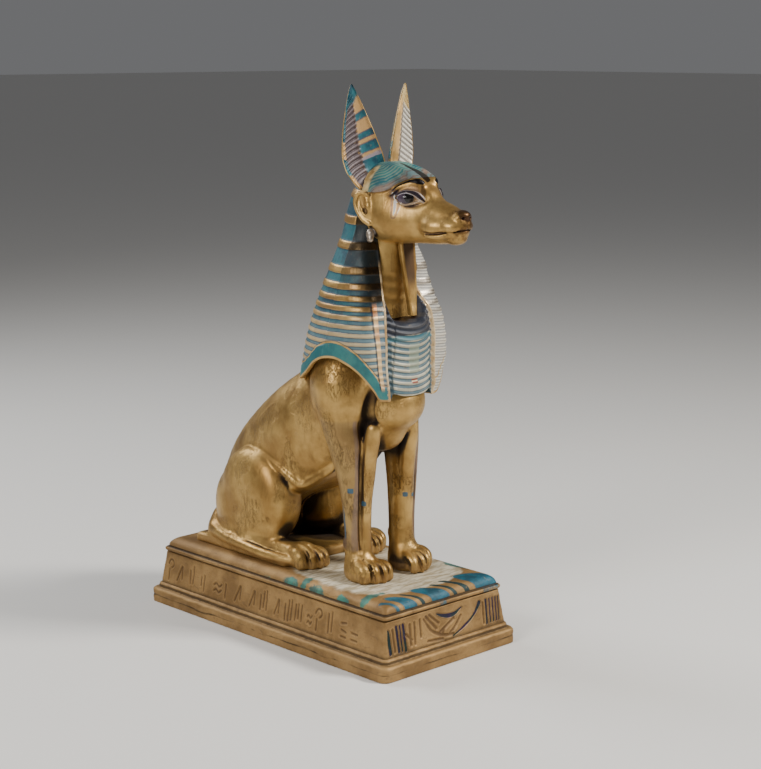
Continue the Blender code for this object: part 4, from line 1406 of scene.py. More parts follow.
    @staticmethod
    def tongue(across: Array, over: Array, low: float, high: float, end: float) -> Array:
        """Distance into a band that ends in a half ellipse: its half width less the way to its spine."""
        half = 0.5 * (high - low)
        past = np.maximum(over - (end - 1.2 * half), 0.0) / 1.2
        return half - np.hypot(across - low - half, past)

    def closed(self, name: str, points: Array, marks: dict[str, Array],
               finish: bpy.types.Material) -> bpy.types.Object:
        """Close the first and last rows to the middle line and place the piece."""
        ends = []
        for row in (points[0], points[-1]):
            line = row.copy()
            reach = 0.5 * (self.length - self.width)
            line[:, 0] = 0.0
            line[:, 1] = np.clip(row[:, 1], -reach, reach)
            ends.append(line)
        rows = np.concatenate([ends[0][None], points, ends[1][None]])
        quads = grid_faces(rows.shape[0], rows.shape[1])
        flat = rows.reshape(-1, 3) - [0, 0, self.height]
        first, triangles = welded(flat, quads)
        kept = {key: np.vstack([value[:1], value, value[-1:]]).ravel()[first]
                for key, value in marks.items()}
        return Mesh(flat[first], triangles, kept).place(name, Slot.PLINTH, finish, PLINTH_NODE)


# Finishes


def linear(red: int, green: int, blue: int) -> tuple[float, float, float, float]:
    """A colour given in the usual 0 to 255 steps, in linear light."""
    parts = [v / 255.0 for v in (red, green, blue)]
    return (*[p / 12.92 if p <= 0.04045 else ((p + 0.055) / 1.055) ** 2.4 for p in parts], 1.0)


@dataclass
class Wire:
    """A number's socket, with arithmetic that adds Math nodes."""

    bench: "Bench"
    socket: Any

    def math(self, operation: str, *others: Any, clamp: bool = False) -> "Wire":
        """Add one Math node that starts from this wire."""
        values = [self, *others]
        node = self.bench.node("ShaderNodeMath", {"operation": operation, "use_clamp": clamp},
                               dict(enumerate(values)))
        return Wire(self.bench, node.outputs[0])

    def __add__(self, other: Any) -> "Wire":
        """Sum."""
        return self.math("ADD", other)

    __radd__ = __add__

    def __mul__(self, other: Any) -> "Wire":
        """Product."""
        return self.math("MULTIPLY", other)

    __rmul__ = __mul__

    def __sub__(self, other: Any) -> "Wire":
        """Difference."""
        return self.math("SUBTRACT", other)

    def __rsub__(self, other: Any) -> "Wire":
        """Difference, the other way round."""
        return (self * -1.0) + other

    def ease(self, low: float, high: float) -> "Wire":
        """Nought below low, one above high, smooth between; low may be above high."""
        node = self.bench.node("ShaderNodeMapRange", {"interpolation_type": "SMOOTHSTEP"},
                               {0: self, 1: low, 2: high, 3: 0.0, 4: 1.0})
        return Wire(self.bench, node.outputs[0])

    def within(self, reach: float, soft: float) -> "Wire":
        """One where the value is nearer nought than reach, falling off over soft."""
        return self.math("ABSOLUTE").ease(reach + soft, reach)


@dataclass
class Bench:
    """One material's node tree, and the few ways in which its nodes are made."""

    material: bpy.types.Material
    spot: Any = None

    def node(self, kind: str, settings: dict[str, Any] | None = None,
             inputs: dict[Any, Any] | None = None) -> Any:
        """Add a node, set it up, then fill its sockets.

        Args:
            kind: The node's type.
            settings: Properties, set first.
            inputs: Values, wires or sockets by socket index or name.

        Returns:
            The node.
        """
        tree = self.material.node_tree
        made = tree.nodes.new(kind)
        for key, value in (settings or {}).items():
            setattr(made, key, value)
        for key, value in (inputs or {}).items():
            socket = made.inputs[key]
            if isinstance(value, Wire):
                tree.links.new(value.socket, socket)
            elif isinstance(value, bpy.types.NodeSocket):
                tree.links.new(value, socket)
            else:
                socket.default_value = value
        return made

    def mark(self, name: str) -> Wire:
        """Read one of the mesh's own values."""
        return Wire(self, self.node("ShaderNodeAttribute", {"attribute_name": name}).outputs["Fac"])

    def place(self) -> Any:
        """The point's place on the object, in metres."""
        if self.spot is None:
            self.spot = self.node("ShaderNodeTexCoord").outputs["Object"]
        return self.spot

    def axis(self, name: str) -> Wire:
        """One coordinate of the place, in metres."""
        return Wire(self, self.node("ShaderNodeSeparateXYZ", {}, {0: self.place()}).outputs[name])

    def noise(self, scale: float, detail: float = 3.0, rough: float = 0.55, bend: float = 0.0,
              stretch: tuple[float, float, float] = (1, 1, 1)) -> Wire:
        """Cloudy noise between 0 and 1, finer with a greater scale, in features per metre."""
        vector = self.place()
        if stretch != (1, 1, 1):
            vector = self.node("ShaderNodeMapping", {}, {"Vector": vector, "Scale": stretch}).outputs[0]
        made = self.node("ShaderNodeTexNoise", {}, {"Vector": vector, "Scale": scale, "Detail": detail,
                                                    "Roughness": rough, "Distortion": bend})
        return Wire(self, made.outputs[0])

    def mix(self, share: Any, under: Any, over: Any) -> Any:
        """Lay one colour over another by a share."""
        made = self.node("ShaderNodeMix", {"data_type": "RGBA"}, {0: share, 6: under, 7: over})
        return made.outputs[2]

    def finish(self, colour: Any, rough: Any, metal: Any, bumps: Sequence[tuple[Wire, float]],
               **constants: float) -> bpy.types.Material:
        """Join everything to the shader.

        Args:
            colour: Base colour.
            rough: Roughness.
            metal: Metallic.
            bumps: Heights between 0 and 1, each with its depth in metres.
            constants: Shader sockets that stay the same all over.

        Returns:
            The finished material.
        """
        normal = None
        for height, depth in bumps:
            inputs = {"Height": height, "Distance": depth, "Strength": 1.0}
            if normal is not None:
                inputs["Normal"] = normal
            normal = self.node("ShaderNodeBump", {}, inputs).outputs[0]
        sockets = {"Base Color": colour, "Roughness": rough, "Metallic": metal}
        if normal is not None:
            sockets["Normal"] = normal
        sockets.update({key.replace("_", " ").title().replace("Ior", "IOR"): value
                        for key, value in constants.items()})
        shader = self.node("ShaderNodeBsdfPrincipled", {}, sockets)
        self.node("ShaderNodeOutputMaterial", {}, {0: shader.outputs[0]})
        return self.material


def bench(name: str) -> Bench:
    """An empty material to work on."""
    material = bpy.data.materials.new(name)
    material.use_nodes = True
    material.node_tree.nodes.clear()
    return Bench(material)


@dataclass(frozen=True)
class Gold:
    """Old gilding: bright leaf, browner in hollows with patina, near black in the deepest crevices as
    painted shade, with dull clouds and hair-fine wear.
    """

    bright: tuple = linear(200, 164, 98)
    leaf: tuple = linear(156, 121, 66)
    brown: tuple = linear(82, 54, 27)
    dark: tuple = linear(24, 13, 7)

    def layers(self, b: Bench, hollow: Wire, painted_shade_and_patina: Wire | float = 0.0) -> tuple[Any, Wire, Wire, list]:
        """Colour, roughness, metal and bumps of the gilding.

        Args:
            b: The material in the making.
            hollow: How shut-in the surface is close by, from 0 to 1.
            painted_shade_and_patina: The same over a hand's breadth, as below the belly.

        Returns:
            The four values, for more layers on top.
        """
        cloud = b.noise(26.0, 4.0, 0.6)
        grain = b.noise(420.0, 3.0, 0.6)
        brush = b.noise(90.0, 4.0, 0.62, 0.6, (1.0, 1.0, 0.28))
        colour = b.mix(cloud.ease(0.35, 0.68), self.leaf, self.bright)
        colour = b.mix(brush.ease(0.54, 0.74) * 0.34, colour, self.brown)
        colour = b.mix((hollow + (brush - 0.5) * 0.4).ease(0.3, 0.8) * 0.8, colour, self.brown)
        # Painted shade: the deepest crevices go near black over the patina's brown.
        colour = b.mix((hollow + (cloud - 0.5) * 0.25).ease(0.6, 1.0) * 0.9, colour, self.dark)
        rough = 0.28 + cloud * 0.12 + brush * 0.1 + hollow * 0.2
        metal = 0.8 - hollow.ease(0.3, 0.9) * 0.4
        if isinstance(painted_shade_and_patina, Wire):
            # Painted shade with some patina below the belly and between the limbs: what is shut in over a
            # hand's breadth goes near black.
            deep = (painted_shade_and_patina + (cloud - 0.5) * 0.14).ease(0.46, 0.8)
            colour = b.mix(deep * 0.93, colour, self.dark)
            metal = metal * (1.0 - deep * 0.6)
            rough = rough + deep * 0.15
        return colour, rough, metal, [(brush, 0.0006), (grain, 0.00012)]

    def material(self, name: str = "gilding") -> bpy.types.Material:
        """The plain gilding."""
        b = bench(name)
        colour, rough, metal, bumps = self.layers(b, b.mark("hollow"))
        return b.finish(colour, rough, metal, bumps)


INK = linear(16, 13, 15)
TEAL = linear(28, 92, 102)
DEEP_TEAL = linear(12, 58, 74)
GREEN_TEAL = linear(38, 124, 122)
SLATE = linear(104, 126, 134)
CREAM = linear(214, 196, 160)
LILAC = linear(138, 126, 134)
PLUM = linear(74, 60, 76)
NAVY = linear(17, 22, 40)
SAND = linear(170, 134, 84)
RUST = linear(126, 48, 30)


@dataclass(frozen=True)
class BodyPaint:
    """The body's gilding, darkened below the belly by painted shade with some patina, with painted shade in
    the forelegs' grooves, incised fur strokes and a few blue squares.
    """

    gold: Gold = Gold()

    def material(self) -> bpy.types.Material:
        """Add the forelegs' worn grey strip, the painted shade in their grooves, the squares, the fine
        strokes and the paler ground.

        Returns:
            The body's finish.
        """
        b = bench("body_gilding")
        colour, rough, metal, bumps = self.gold.layers(b, b.mark("hollow"), b.mark("painted_shade_and_patina"))
        fray = b.noise(150.0, 4.0, 0.65) - 0.5
        scratch = b.noise(150.0, 5.0, 0.7, 1.4, (1.6, 1.6, 0.5))
        lines = (scratch - 0.5).within(0.012, 0.02) * b.noise(24.0, 2.0).ease(0.46, 0.6)
        leg = b.mark("leg").ease(0.0, 4.0)
        colour = b.mix(lines * (0.5 + leg * 0.3), colour, self.gold.brown)
        side = b.mark("leg_side") + fray * 1.6
        outer = side.ease(0.5, 3.0) * leg
        colour = b.mix(outer * 0.4, colour, linear(132, 112, 84))
        patches = b.noise(40.0, 4.0, 0.6, 0.0, (1, 1, 0.4)).ease(0.3, 0.5)
        strip = (side - 4.2).within(1.8, 1.6) * leg * patches
        colour = b.mix(strip * 0.6, colour, linear(124, 106, 104))
        # Painted shade in the groove between the foreleg's outer face and its sinew: a dark brown line.
        colour = b.mix(side.within(0.5, 1.1) * leg * 0.8, colour, linear(56, 32, 16))
        square = (b.mark("square") + fray * 1.4).ease(0.4, -0.3)
        colour = b.mix(square * 0.9, colour, linear(34, 88, 112))
        ground = (b.mark("ground") + fray * 1.6).ease(-1.0, 1.5)
        colour = b.mix(ground * 0.45, colour, linear(150, 116, 70))
        metal = metal * (1.0 - square * 0.8) * (1.0 - ground * 0.4)
        bumps.append((1.0 - lines, 0.00035))
        return b.finish(colour, rough + ground * 0.12, metal, bumps)


@dataclass(frozen=True)
class FacePaint:
    """Gilded face with dark eye lines, pale streaks and the striped cap, with painted shade in the eye
    sockets and the slot and a painted highlight on each cheek.
    """

    gold: Gold = Gold()

    def material(self) -> bpy.types.Material:
        """Lay the paint over the gilding, line by line.

        Returns:
            The face's finish.
        """
        b = bench("face")
        hollow = b.mark("hollow")
        colour, rough, metal, bumps = self.gold.layers(b, hollow)
        fray = b.noise(160.0, 4.0, 0.65) - 0.5
        cap = b.mark("cap")
        crest = b.mark("crest")
        arc = b.mark("arc") + fray * 1.6
        back = b.mark("back")
        cloud = b.noise(60.0, 4.0, 0.6)
        painted = (cap + fray * 0.9).ease(0.2, 0.9)
        line = ((arc * 0.3).math("FRACT") - 0.5).within(0.15, 0.14) * cloud.ease(0.3, 0.52)
        near_edge = arc.ease(9.0, 5.0)
        teal = b.mix(cloud.ease(0.4, 0.62), TEAL, linear(50, 118, 116))
        edge = b.mix(cloud.ease(0.4, 0.6), linear(132, 112, 98), linear(92, 116, 118))
        ground = b.mix(near_edge, teal, edge)
        cloth = b.mix(line * 0.6, ground, b.mix(near_edge, linear(138, 146, 128), linear(84, 62, 54)))
        cloth = b.mix((crest + fray * 2.0).ease(5.2, 3.8) * 0.7, cloth, linear(84, 128, 120))
        patch = (back + fray * 4.0).ease(-106.0, -102.0) * (crest + fray * 3.0).ease(14.0, 18.0)
        cloth = b.mix(patch * 0.9, cloth, b.mix(cloud.ease(0.4, 0.6), colour, linear(226, 200, 146)))
        colour = b.mix(painted, colour, cloth)
        colour = b.mix((cap + fray * 0.6 - 0.4).within(0.3, 0.4) * 0.6, colour, self.gold.brown)
        # Painted shade: the groove along the forehead goes near black.
        colour = b.mix((b.mark("slot") + fray).ease(1.2, -0.2) * 0.92, colour, linear(34, 20, 14))
        worn = 1.0 - b.noise(210.0, 5.0, 0.7).ease(0.6, 0.74) * 0.7
        eyeball = b.mark("eyeball").ease(0.9, 0.3)
        white = b.mix(back.ease(-150.0, -146.0), linear(60, 50, 62), PLUM)
        glance = b.mix(back.ease(-160.0, -161.6), white, linear(186, 178, 178))
        ball = b.mix(b.mark("iris").ease(0.35, -0.25), glance, linear(10, 7, 7))
        shadow = (b.mark("iris") + fray * 2.0).ease(9.5, 2.0)
        colour = b.mix(shadow * 0.45, colour, PLUM)
        colour = b.mix(eyeball, colour, ball)
        pale = (b.mark("kohl") + fray * 0.5 - 0.9).within(0.35, 0.3) * b.mark("iris").ease(10.0, 7.0)
        front = (back + fray * 12.0).ease(-188.0, -206.0) * cloud.ease(0.42, 0.58)
        colour = b.mix(front * 0.8, colour, self.gold.brown)
        # Painted shade in the inner corner of each eye socket, below the brow.
        colour = b.mix((b.mark("socket") + fray * 2.0).ease(1.4, -0.8) * 0.75, colour, linear(52, 28, 14))
        for share, over in (((b.mark("kohl") + fray * 0.4).ease(0.35, -0.25) * worn, linear(36, 28, 38)),
                            (pale * 0.6, linear(190, 186, 190)),
                            (b.mark("lower_lid").ease(0.2, -0.25) * 0.4, linear(176, 160, 142)),
                            ((b.mark("brow_line") + fray).ease(0.3, -0.3) * worn, INK),
                            ((b.mark("streak") + fray).ease(0.5, -0.2) * 0.85, linear(214, 210, 208)),
                            ((b.mark("streak") - 2.2 + fray * 1.5).within(0.8, 0.6) * 0.5, PLUM),
                            # Painted highlight down the cheek, in pale whitish gold.
                            ((b.mark("painted_cheek_highlight") + fray).ease(0.5, -0.2) * 0.7, linear(214, 206, 196)),
                            ((b.mark("lips") + fray * 1.6).ease(0.7, -0.4) * 0.7, linear(66, 36, 20)),
                            ((b.mark("nose") + fray * 3.0).ease(0.9, -0.8) * 0.8, linear(58, 34, 21)),
                            ((b.mark("curl") + fray * 2.0).ease(0.6, -0.8) * 0.75, linear(150, 146, 144))):
            colour = b.mix(share, colour, over)
        rough = rough + painted * 0.12 - eyeball * 0.26
        metal = metal * (1.0 - painted * 0.85) * (1.0 - eyeball) * (1.0 - shadow * 0.4)
        metal = metal * (1.0 - b.mark("streak").ease(0.5, -0.2))
        return b.finish(colour, rough, metal, bumps)


@dataclass(frozen=True)
class ClothPaint:
    """Head cloth in teal and gold bands, with cream ridges below and gilding at the throat, and painted
    shade on the near fall and in the throat.
    """

    gold: Gold = Gold()

    def material(self) -> bpy.types.Material:
        """Lay bands, edge strips and the hem over the gilding, and paint shade on the near fall and in the
        throat.

        Returns:
            The cloth's finish.
        """
        b = bench("head_cloth_paint")
        shade = b.mark("shade")
        lap = b.mark("lap")
        rim = b.mark("rim")
        high = b.mark("high")
        near = (b.axis("X") * 1000.0).ease(4.0, -4.0)
        gilt, rough, metal, bumps = self.gold.layers(b, shade * 0.35)
        fray = b.noise(120.0, 4.0, 0.65) - 0.5
        fine = b.noise(300.0, 4.0, 0.7) - 0.5
        cloud = b.noise(34.0, 4.0, 0.6)
        band = b.mark("band") + fray
        line = band.ease(0.35, -0.35)
        teal = b.mix((cloud + fine * 0.3).ease(0.42, 0.62), TEAL, DEEP_TEAL)
        low = (high + fray * 16.0).ease(300, 262)
        front = (lap + fray * 6.0).ease(34.0, 12.0)
        pale = low * front
        grey = b.mix(low * 0.7, teal, b.mix(cloud.ease(0.35, 0.65), SLATE, linear(52, 104, 118)))
        grey = b.mix(pale * 0.5, grey, SLATE)
        ridge = b.mix(low * 0.45 + pale * 0.45, b.mix(cloud.ease(0.4, 0.62), gilt, SAND),
                      linear(188, 176, 144))
        cloth = b.mix(line, grey, ridge)
        cloth = b.mix((band - 0.55).within(0.2, 0.35) * 0.65, cloth, NAVY)
        cloth = b.mix((band + 0.6).within(0.25, 0.3) * low * 0.3, cloth, self.gold.brown)
        # Painted shade over the near fall's upper front, below the jaw: nearly black over the stripes.
        painted_shade_on_fall = (lap + cloud * 12.0 + fray * 10.0).ease(33.0, 14.0)
        painted_shade_on_fall = painted_shade_on_fall * (high + fray * 18.0).ease(282, 306) * near
        cloth = b.mix(painted_shade_on_fall * 0.93, cloth, linear(15, 13, 14))
        fine_rib = ((high * 0.34 + lap * 0.05 + fray * 0.3).math("FRACT") - 0.5).within(0.16, 0.2)
        chalk = b.mix(fine_rib * 0.75, linear(206, 200, 186), linear(116, 112, 110))
        fall = lap.ease(-0.6, 0.2)
        hem = (rim + fray * 1.2).ease(15.4, 14.8) * lap.ease(3.0, 3.6)
        hem_teal = b.mix(cloud.ease(0.38, 0.66), linear(26, 92, 98), linear(52, 118, 116))
        cloth = b.mix(hem, cloth, hem_teal)
        cloth = b.mix((lap + fray * 5.0).ease(34.0, 27.0) * (1.0 - near) * 0.85, cloth, chalk)
        cloth = b.mix((rim + fray * 0.8 - 15.8).within(0.7, 0.4) * fall, cloth, gilt)
        cloth = b.mix((rim + fray * 0.8 - 17.2).within(0.3, 0.3) * fall * 0.7, cloth, NAVY)
        cloth = b.mix(rim.ease(1.8, 1.0) * fall, cloth, gilt)
        edge_at = lap - 7.0 - (high - 214.0) * 0.035
        reach = high.ease(302, 296) * high.ease(208, 214) * near
        cloth = b.mix(edge_at.within(1.4, 0.4) * reach, cloth,
                      b.mix(cloud.ease(0.4, 0.6), linear(206, 176, 128), linear(164, 104, 62)))
        cloth = b.mix((edge_at - 2.2).within(0.5, 0.3) * reach * 0.75, cloth, NAVY)
        cloth = b.mix((edge_at + 6.2).within(4.2, 0.6) * reach * 0.45, cloth, linear(84, 104, 120))
        welt = (lap - 1.2).within(1.1, 0.35) * high.ease(345, 330)
        cloth = b.mix(welt, cloth, b.mix(cloud.ease(0.35, 0.6), CREAM, SAND))
        bib = b.mix(line, b.mix(cloud.ease(0.35, 0.62), linear(106, 122, 126), linear(74, 102, 110)),
                    b.mix(cloud.ease(0.3, 0.6), linear(196, 190, 166), linear(158, 152, 130)))
        bib = b.mix((band - 0.5).within(0.2, 0.4) * 0.6, bib, linear(40, 54, 70))
        bib = b.mix(lap.ease(-6.0, -4.0) * 0.8, bib, linear(26, 62, 76))
        across = b.axis("X").math("ABSOLUTE")
        patch = (across + fray * 0.003).ease(0.0075, 0.0065) * high.ease(258, 254) * high.ease(224, 228)
        bib = b.mix(patch * 0.75, bib, linear(128, 138, 118))
        mark = across.ease(0.0045, 0.0038) * (high - 217.0).within(2.2, 0.4)
        bib = b.mix(mark, bib, RUST)
        bib = b.mix((high - 217.0).within(0.5, 0.3) * mark, bib, CREAM)
        collar = (high + fray * 3.0).ease(264.5, 267.0)
        bib = b.mix(collar * 0.94, bib, NAVY)
        bib = b.mix((high + fray * 2.0 - 262.5).within(2.0, 0.8) * 0.8, bib, linear(30, 92, 104))
        painted = b.mix(fall, bib, cloth)
        inside = shade.ease(0.25, 0.45) * (1.0 - fall)
        painted = b.mix(b.noise(170.0, 5.0, 0.72).ease(0.58, 0.72) * 0.5, painted, linear(122, 98, 64))
        dust = (b.noise(18.0, 5.0, 0.7) + fine * 0.4).ease(0.58, 0.8) * 0.3
        painted = b.mix(dust, painted, linear(120, 104, 82))
        # Painted shade in the throat: darker at the sides of the neck, where the recess is shallow, and
        # darker again towards its bottom.
        throat = b.mix((shade + fray * 0.5).ease(0.95, 0.45) * 0.8, gilt, self.gold.dark)
        throat = b.mix((high + fray * 8.0).ease(316.0, 286.0) * 0.7, throat, self.gold.brown)
        throat = b.mix((high + fray * 6.0).ease(300.0, 284.0) * 0.85, throat, self.gold.dark)
        colour = b.mix(inside, painted, throat)
        shiny = (line * (1.0 - low) * fall * (1.0 - hem)).math("MAXIMUM", inside * 0.9)
        rough = rough * shiny + (0.46 + cloud * 0.14) * (1.0 - shiny)
        metal = metal * shiny + (1.0 - shiny) * 0.1
        return b.finish(colour, rough, metal, bumps)


@dataclass(frozen=True)
class EarPaint:
    """Ears: ribbed on the outer half, banded or gilt on the inner half, teal at the tip."""

    gold: Gold = Gold()

    def material(self) -> bpy.types.Material:
        """Lay the ribs' and bands' colours over the gilding; the left ear is paler.

        Returns:
            The ears' finish.
        """
        b = bench("ear_paint")
        across = b.mark("across")
        ahead = b.mark("ahead")
        left = b.mark("left")
        fray = b.noise(150.0, 4.0, 0.65) - 0.5
        up = b.mark("up") + fray * 0.02
        gilt, rough, metal, bumps = self.gold.layers(b, ahead * 0.1)
        cloud = b.noise(46.0, 4.0, 0.6)
        rib = ((b.mark("rib") + fray * 0.16).math("FRACT") - 0.5).math("ABSOLUTE")
        light = rib.ease(0.16, 0.34)
        teal = b.mix(cloud.ease(0.4, 0.62), TEAL, DEEP_TEAL)
        dull = b.mix(light, linear(66, 54, 56), linear(104, 92, 94))
        chalk = b.mix(light, linear(142, 136, 128), linear(226, 220, 206))
        outer = b.mix(left, dull, chalk)
        bands = b.mix((up + 0.06 * across).ease(0.3, 0.27), SAND, LILAC)
        for at, half in ((0.67, 0.03), (0.485, 0.028), (0.365, 0.04), (0.19, 0.062)):
            bands = b.mix((up + 0.05 * across - at).within(half, 0.008), bands, teal)
        for at in (0.705, 0.635, 0.515, 0.455, 0.41, 0.32):
            bands = b.mix((up + 0.05 * across - at).within(0.004, 0.006) * 0.6, bands, PLUM)
        inner = b.mix(left, bands, b.mix(cloud.ease(0.4, 0.62), gilt, linear(206, 168, 110)))
        face = b.mix((across + fray * 0.3).ease(-0.12, 0.04), inner, outer)
        face = b.mix((across - 0.02 + fray * 0.1).within(0.04, 0.05) * (0.3 + left * 0.5), face,
                     linear(84, 58, 36))
        away = across.math("ABSOLUTE")
        stain = b.noise(30.0, 2.0, 0.5, 0.0, (1, 1, 2.2)).ease(0.47, 0.53)
        outer_edge = b.mix(left, b.mix(stain, teal, SAND), gilt)
        face = b.mix((across + fray * 0.16 - left * 0.2).ease(0.72, 0.78), face, outer_edge)
        face = b.mix((away + fray * 0.04).ease(0.94, 0.97), face, gilt)
        tip = b.mix(left, teal, linear(206, 180, 126))
        face = b.mix((up + across * 0.07 + fray * 0.06).ease(0.8, 0.85), face, tip)
        foot = (up + fray * 0.03).ease(0.1, 0.06)
        face = b.mix(foot * left, face, GREEN_TEAL)
        grain = b.noise(60.0, 4.0, 0.6, 1.0, (1, 1, 0.3))
        behind = b.mix(grain.ease(0.45, 0.6), teal, gilt)
        behind = b.mix(up.ease(0.2, 0.6) * 0.6, behind, gilt)
        painted = b.mix(ahead.ease(0.3, 0.7), behind, face)
        painted = b.mix(b.noise(200.0, 5.0, 0.72).ease(0.6, 0.72) * 0.5, painted, gilt)
        return b.finish(painted, rough + 0.06, metal * (away.ease(0.86, 0.94) * 0.6 + 0.2 + left * 0.2),
                        bumps)


@dataclass(frozen=True)
class PlinthPaint:
    """Matt, browned gold of the plinth with dark inlay, cracks and the painted cushion."""

    light: tuple = linear(168, 134, 84)
    mid: tuple = linear(128, 98, 57)
    brown: tuple = linear(72, 48, 26)
    dark: tuple = linear(28, 18, 10)

    def ground(self, b: Bench) -> tuple[Any, Wire, Wire, list]:
        """Colour, roughness, metal and bumps of the matt gold."""
        cloud = b.noise(22.0, 5.0, 0.62)
        grain = b.noise(520.0, 3.0, 0.65)
        drag = b.noise(60.0, 5.0, 0.66, 0.8, (1.0, 1.0, 2.6))
        colour = b.mix(cloud.ease(0.36, 0.66), self.mid, self.light)
        colour = b.mix(drag.ease(0.54, 0.74) * 0.5, colour, self.brown)
        colour = b.mix((grain * 0.6 + cloud * 0.5).ease(0.62, 0.76) * 0.4, colour, self.brown)
        rough = 0.5 + cloud * 0.12 + drag * 0.08
        metal = 0.5 - drag.ease(0.5, 0.8) * 0.25
        return colour, rough, metal, [(drag, 0.0008), (grain, 0.0002)]

    def foot(self) -> bpy.types.Material:
        """The slab, with its long cracks, dirt along the step and a painted highlight along its rounded top
        edge.
        """
        b = bench("plinth_foot_gold")
        colour, rough, metal, bumps = self.ground(b)
        fray = b.noise(140.0, 4.0, 0.65) - 0.5
        crack = b.mark("crack") + fray * 0.6
        colour = b.mix(crack.ease(0.9, -0.3) * 0.8, colour, self.dark)
        step = (b.axis("Z") * 1000.0 - 18.3 + fray).within(1.2, 1.2)
        colour = b.mix(step * 0.7, colour, self.dark)
        # Painted highlight: a pale line along the slab's rounded top edge.
        bright = (b.axis("Z") * 1000.0 - 15.6 + fray * 2.0).within(0.8, 1.2)
        colour = b.mix(bright * 0.6, colour, self.light)
        return b.finish(colour, rough, metal, bumps)

    def wall(self) -> bpy.types.Material:
        """The wall, with browned strokes and dark inlaid marks."""
        b = bench("plinth_wall_gold")
        colour, rough, metal, bumps = self.ground(b)
        fray = b.noise(160.0, 4.0, 0.65) - 0.5
        stroke = b.mark("stroke") + fray
        colour = b.mix(stroke.ease(0.7, -0.4) * 0.62, colour, self.brown)
        colour = b.mix((stroke - 1.6).within(0.3, 0.5) * 0.35, colour, self.light)
        inlay = b.mark("inlay") + fray * 0.5
        hue = b.mix(b.noise(42.0, 2.0).ease(0.42, 0.58), linear(20, 44, 40), linear(40, 26, 58))
        colour = b.mix(inlay.ease(0.35, -0.25), colour, hue)
        colour = b.mix((inlay - 0.9).within(0.25, 0.4) * 0.4, colour, self.dark)
        foot = (b.axis("Z") * 1000.0 + fray * 2.5).ease(26.5, 22.6)
        colour = b.mix(foot * 0.6, colour, self.dark)
        return b.finish(colour, rough, metal, bumps)

    def top(self) -> bpy.types.Material:
        """The moulding and the cushion with its pale cloth and its teal and dark bands."""
        b = bench("plinth_cushion_paint")
        colour, rough, metal, bumps = self.ground(b)
        fray = b.noise(90.0, 4.0, 0.65) - 0.5
        cloud = b.noise(48.0, 4.0, 0.6)
        teal_wire = b.mark("teal") + fray * 3.0
        deep_wire = b.mark("deep") + fray * 3.0
        cloth_wire = b.mark("cloth") + fray * 5.0
        smear = b.noise(34.0, 5.0, 0.7, 0.9, (2.2, 1.0, 1.0)) - 0.5
        blots = b.mark("blots") + fray * 3.0 + smear * 12.0
        weave = b.noise(210.0, 3.0, 0.6, 0.0, (0.25, 1.0, 1.0))
        pale = b.mix(weave.ease(0.4, 0.62), linear(206, 198, 176), linear(158, 146, 118))
        painted = b.mix(cloth_wire.ease(-1.5, 3.0) * 0.92, colour, pale)
        teal = b.mix(cloud.ease(0.38, 0.64), linear(16, 92, 112), linear(12, 62, 76))
        green = b.mix(cloud.ease(0.36, 0.6), linear(44, 128, 116), linear(20, 84, 84))
        painted = b.mix(blots.ease(-0.8, 1.0) * 0.85, painted, green)
        painted = b.mix(deep_wire.ease(-0.5, 0.5), painted, linear(38, 58, 58))
        painted = b.mix(teal_wire.ease(-0.5, 0.5), painted, teal)
        rim = (teal_wire + 0.9).within(0.35, 0.5) * 0.35
        painted = b.mix(rim, painted, self.brown)
        wear = b.noise(180.0, 5.0, 0.72).ease(0.6, 0.72) * 0.45
        painted = b.mix(wear, painted, colour)
        groove = (b.axis("Z") * 1000.0 - 66.0 + fray).within(0.6, 0.9)
        painted = b.mix(groove * 0.8, painted, self.dark)
        low = (b.axis("Z") * 1000.0 - 60.2 + fray).within(0.5, 1.0)
        painted = b.mix(low * 0.8, painted, self.dark)
        paint = cloth_wire.ease(-1.5, 3.0).math("MAXIMUM", teal_wire.ease(-0.5, 0.5))
        return b.finish(painted, rough * (1.0 - paint * 0.1), metal * (1.0 - paint * 0.85), bumps)


# The room


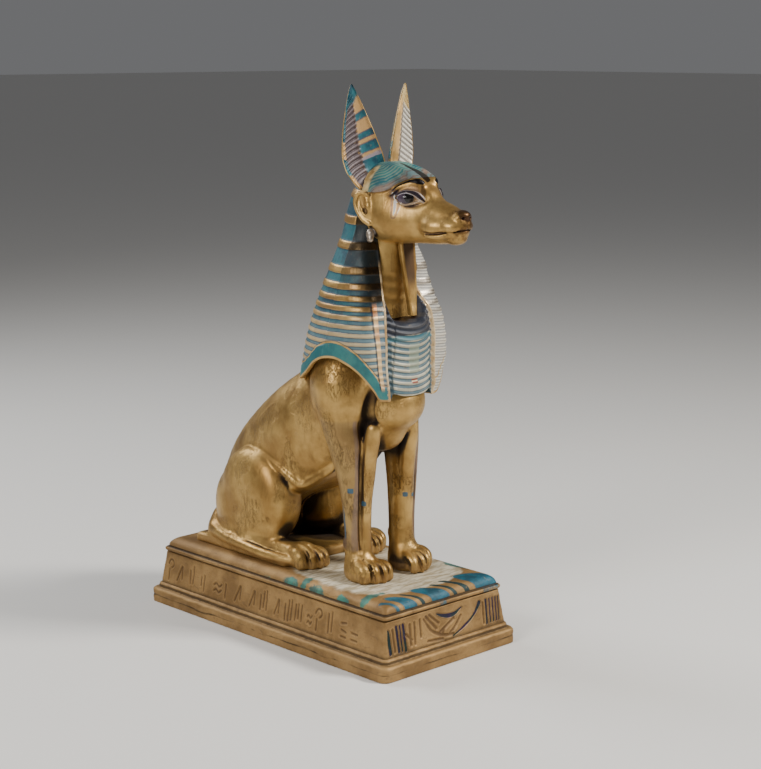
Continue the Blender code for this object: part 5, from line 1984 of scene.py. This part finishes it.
@dataclass
class Studio:
    """A plain pale floor, soft lights and the camera at the photograph's angle."""

    eye: tuple[float, float, float] = (-1.29708, -1.45005, 0.63978)
    azimuth: float = -43.589
    elevation: float = 10.772
    lens: float = 84.27
    floor_size: float = 30.0

    def camera(self) -> None:
        """Stand the camera where the photograph was taken from."""
        data = bpy.data.cameras.new("camera")
        data.lens = self.lens
        data.sensor_width = 36.0
        data.sensor_fit = "AUTO"
        a, e = math.radians(self.azimuth), math.radians(self.elevation)
        back = Vector((math.sin(a) * math.cos(e), -math.cos(a) * math.cos(e), math.sin(e)))
        right = Vector((math.cos(a), math.sin(a), 0.0))
        up = back.cross(right)
        turn = Matrix((right, up, back)).transposed().to_4x4()
        obj = bpy.data.objects.new("camera", data)
        obj.matrix_world = Matrix.Translation(self.eye) @ turn
        bpy.context.scene.collection.objects.link(obj)
        bpy.context.scene.camera = obj

    def lamp(self, name: str, spot: tuple[float, float, float], size: float, power: float,
             tint: tuple[float, float, float] = (1, 1, 1)) -> None:
        """A square soft light that looks at the statue's breast.

        Args:
            name: The light's name.
            spot: Where it hangs, in metres.
            size: Its side.
            power: Its power in watts.
            tint: Its colour.
        """
        data = bpy.data.lights.new(name, "AREA")
        data.size = size
        data.energy = power
        data.color = tint
        obj = bpy.data.objects.new(name, data)
        obj.location = spot
        aim = Vector((0.0, -0.02, 0.27)) - Vector(spot)
        obj.rotation_euler = aim.to_track_quat("-Z", "Y").to_euler()
        bpy.context.scene.collection.objects.link(obj)

    def build(self) -> None:
        """Lay the floor and hang the lights."""
        half = self.floor_size
        mesh = bpy.data.meshes.new("studio_floor")
        mesh.from_pydata([(-half, -half, 0), (half, -half, 0), (half, half, 0), (-half, half, 0)], [],
                         [(0, 1, 2, 3)])
        b = bench("studio_floor")
        mesh.materials.append(b.finish(linear(222, 220, 216), 0.8, 0.0, []))
        floor = bpy.data.objects.new("studio_floor", mesh)
        bpy.context.scene.collection.objects.link(floor)
        world = bpy.data.worlds.new("studio")
        world.use_nodes = True
        sky = world.node_tree.nodes["Background"]
        sky.inputs["Color"].default_value = linear(226, 227, 230)
        sky.inputs["Strength"].default_value = 0.2
        bpy.context.scene.world = world
        self.lamp("key", (0.75, -1.4, 1.5), 0.4, 52.0, (1.0, 0.97, 0.92))
        self.lamp("side", (-1.7, -0.25, 1.15), 0.7, 22.0, (1.0, 0.97, 0.93))
        self.lamp("back", (-0.4, 1.5, 1.5), 0.8, 24.0, (0.96, 0.98, 1.0))
        self.camera()


def main() -> None:
    """Build the statue piece by piece, then the room."""
    global PLINTH_TOP
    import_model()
    PLINTH_TOP = float(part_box(PLINTH_NODE)[1][2]) / MM
    gold = Gold()
    Body().build(BodyPaint().material())
    Head().build(FacePaint().material())
    HeadCloth().build(ClothPaint().material())
    TallEars().build(EarPaint().material())
    Beard().build(gold.material("beard_gilding"))
    plinth = Plinth()
    paint = PlinthPaint()
    plinth.build_foot(paint.foot())
    plinth.build_wall(paint.wall())
    plinth.build_top(paint.top())
    Studio().build()


if __name__ == "__main__":
    logging.basicConfig(level=logging.INFO, format="%(message)s")
    main()
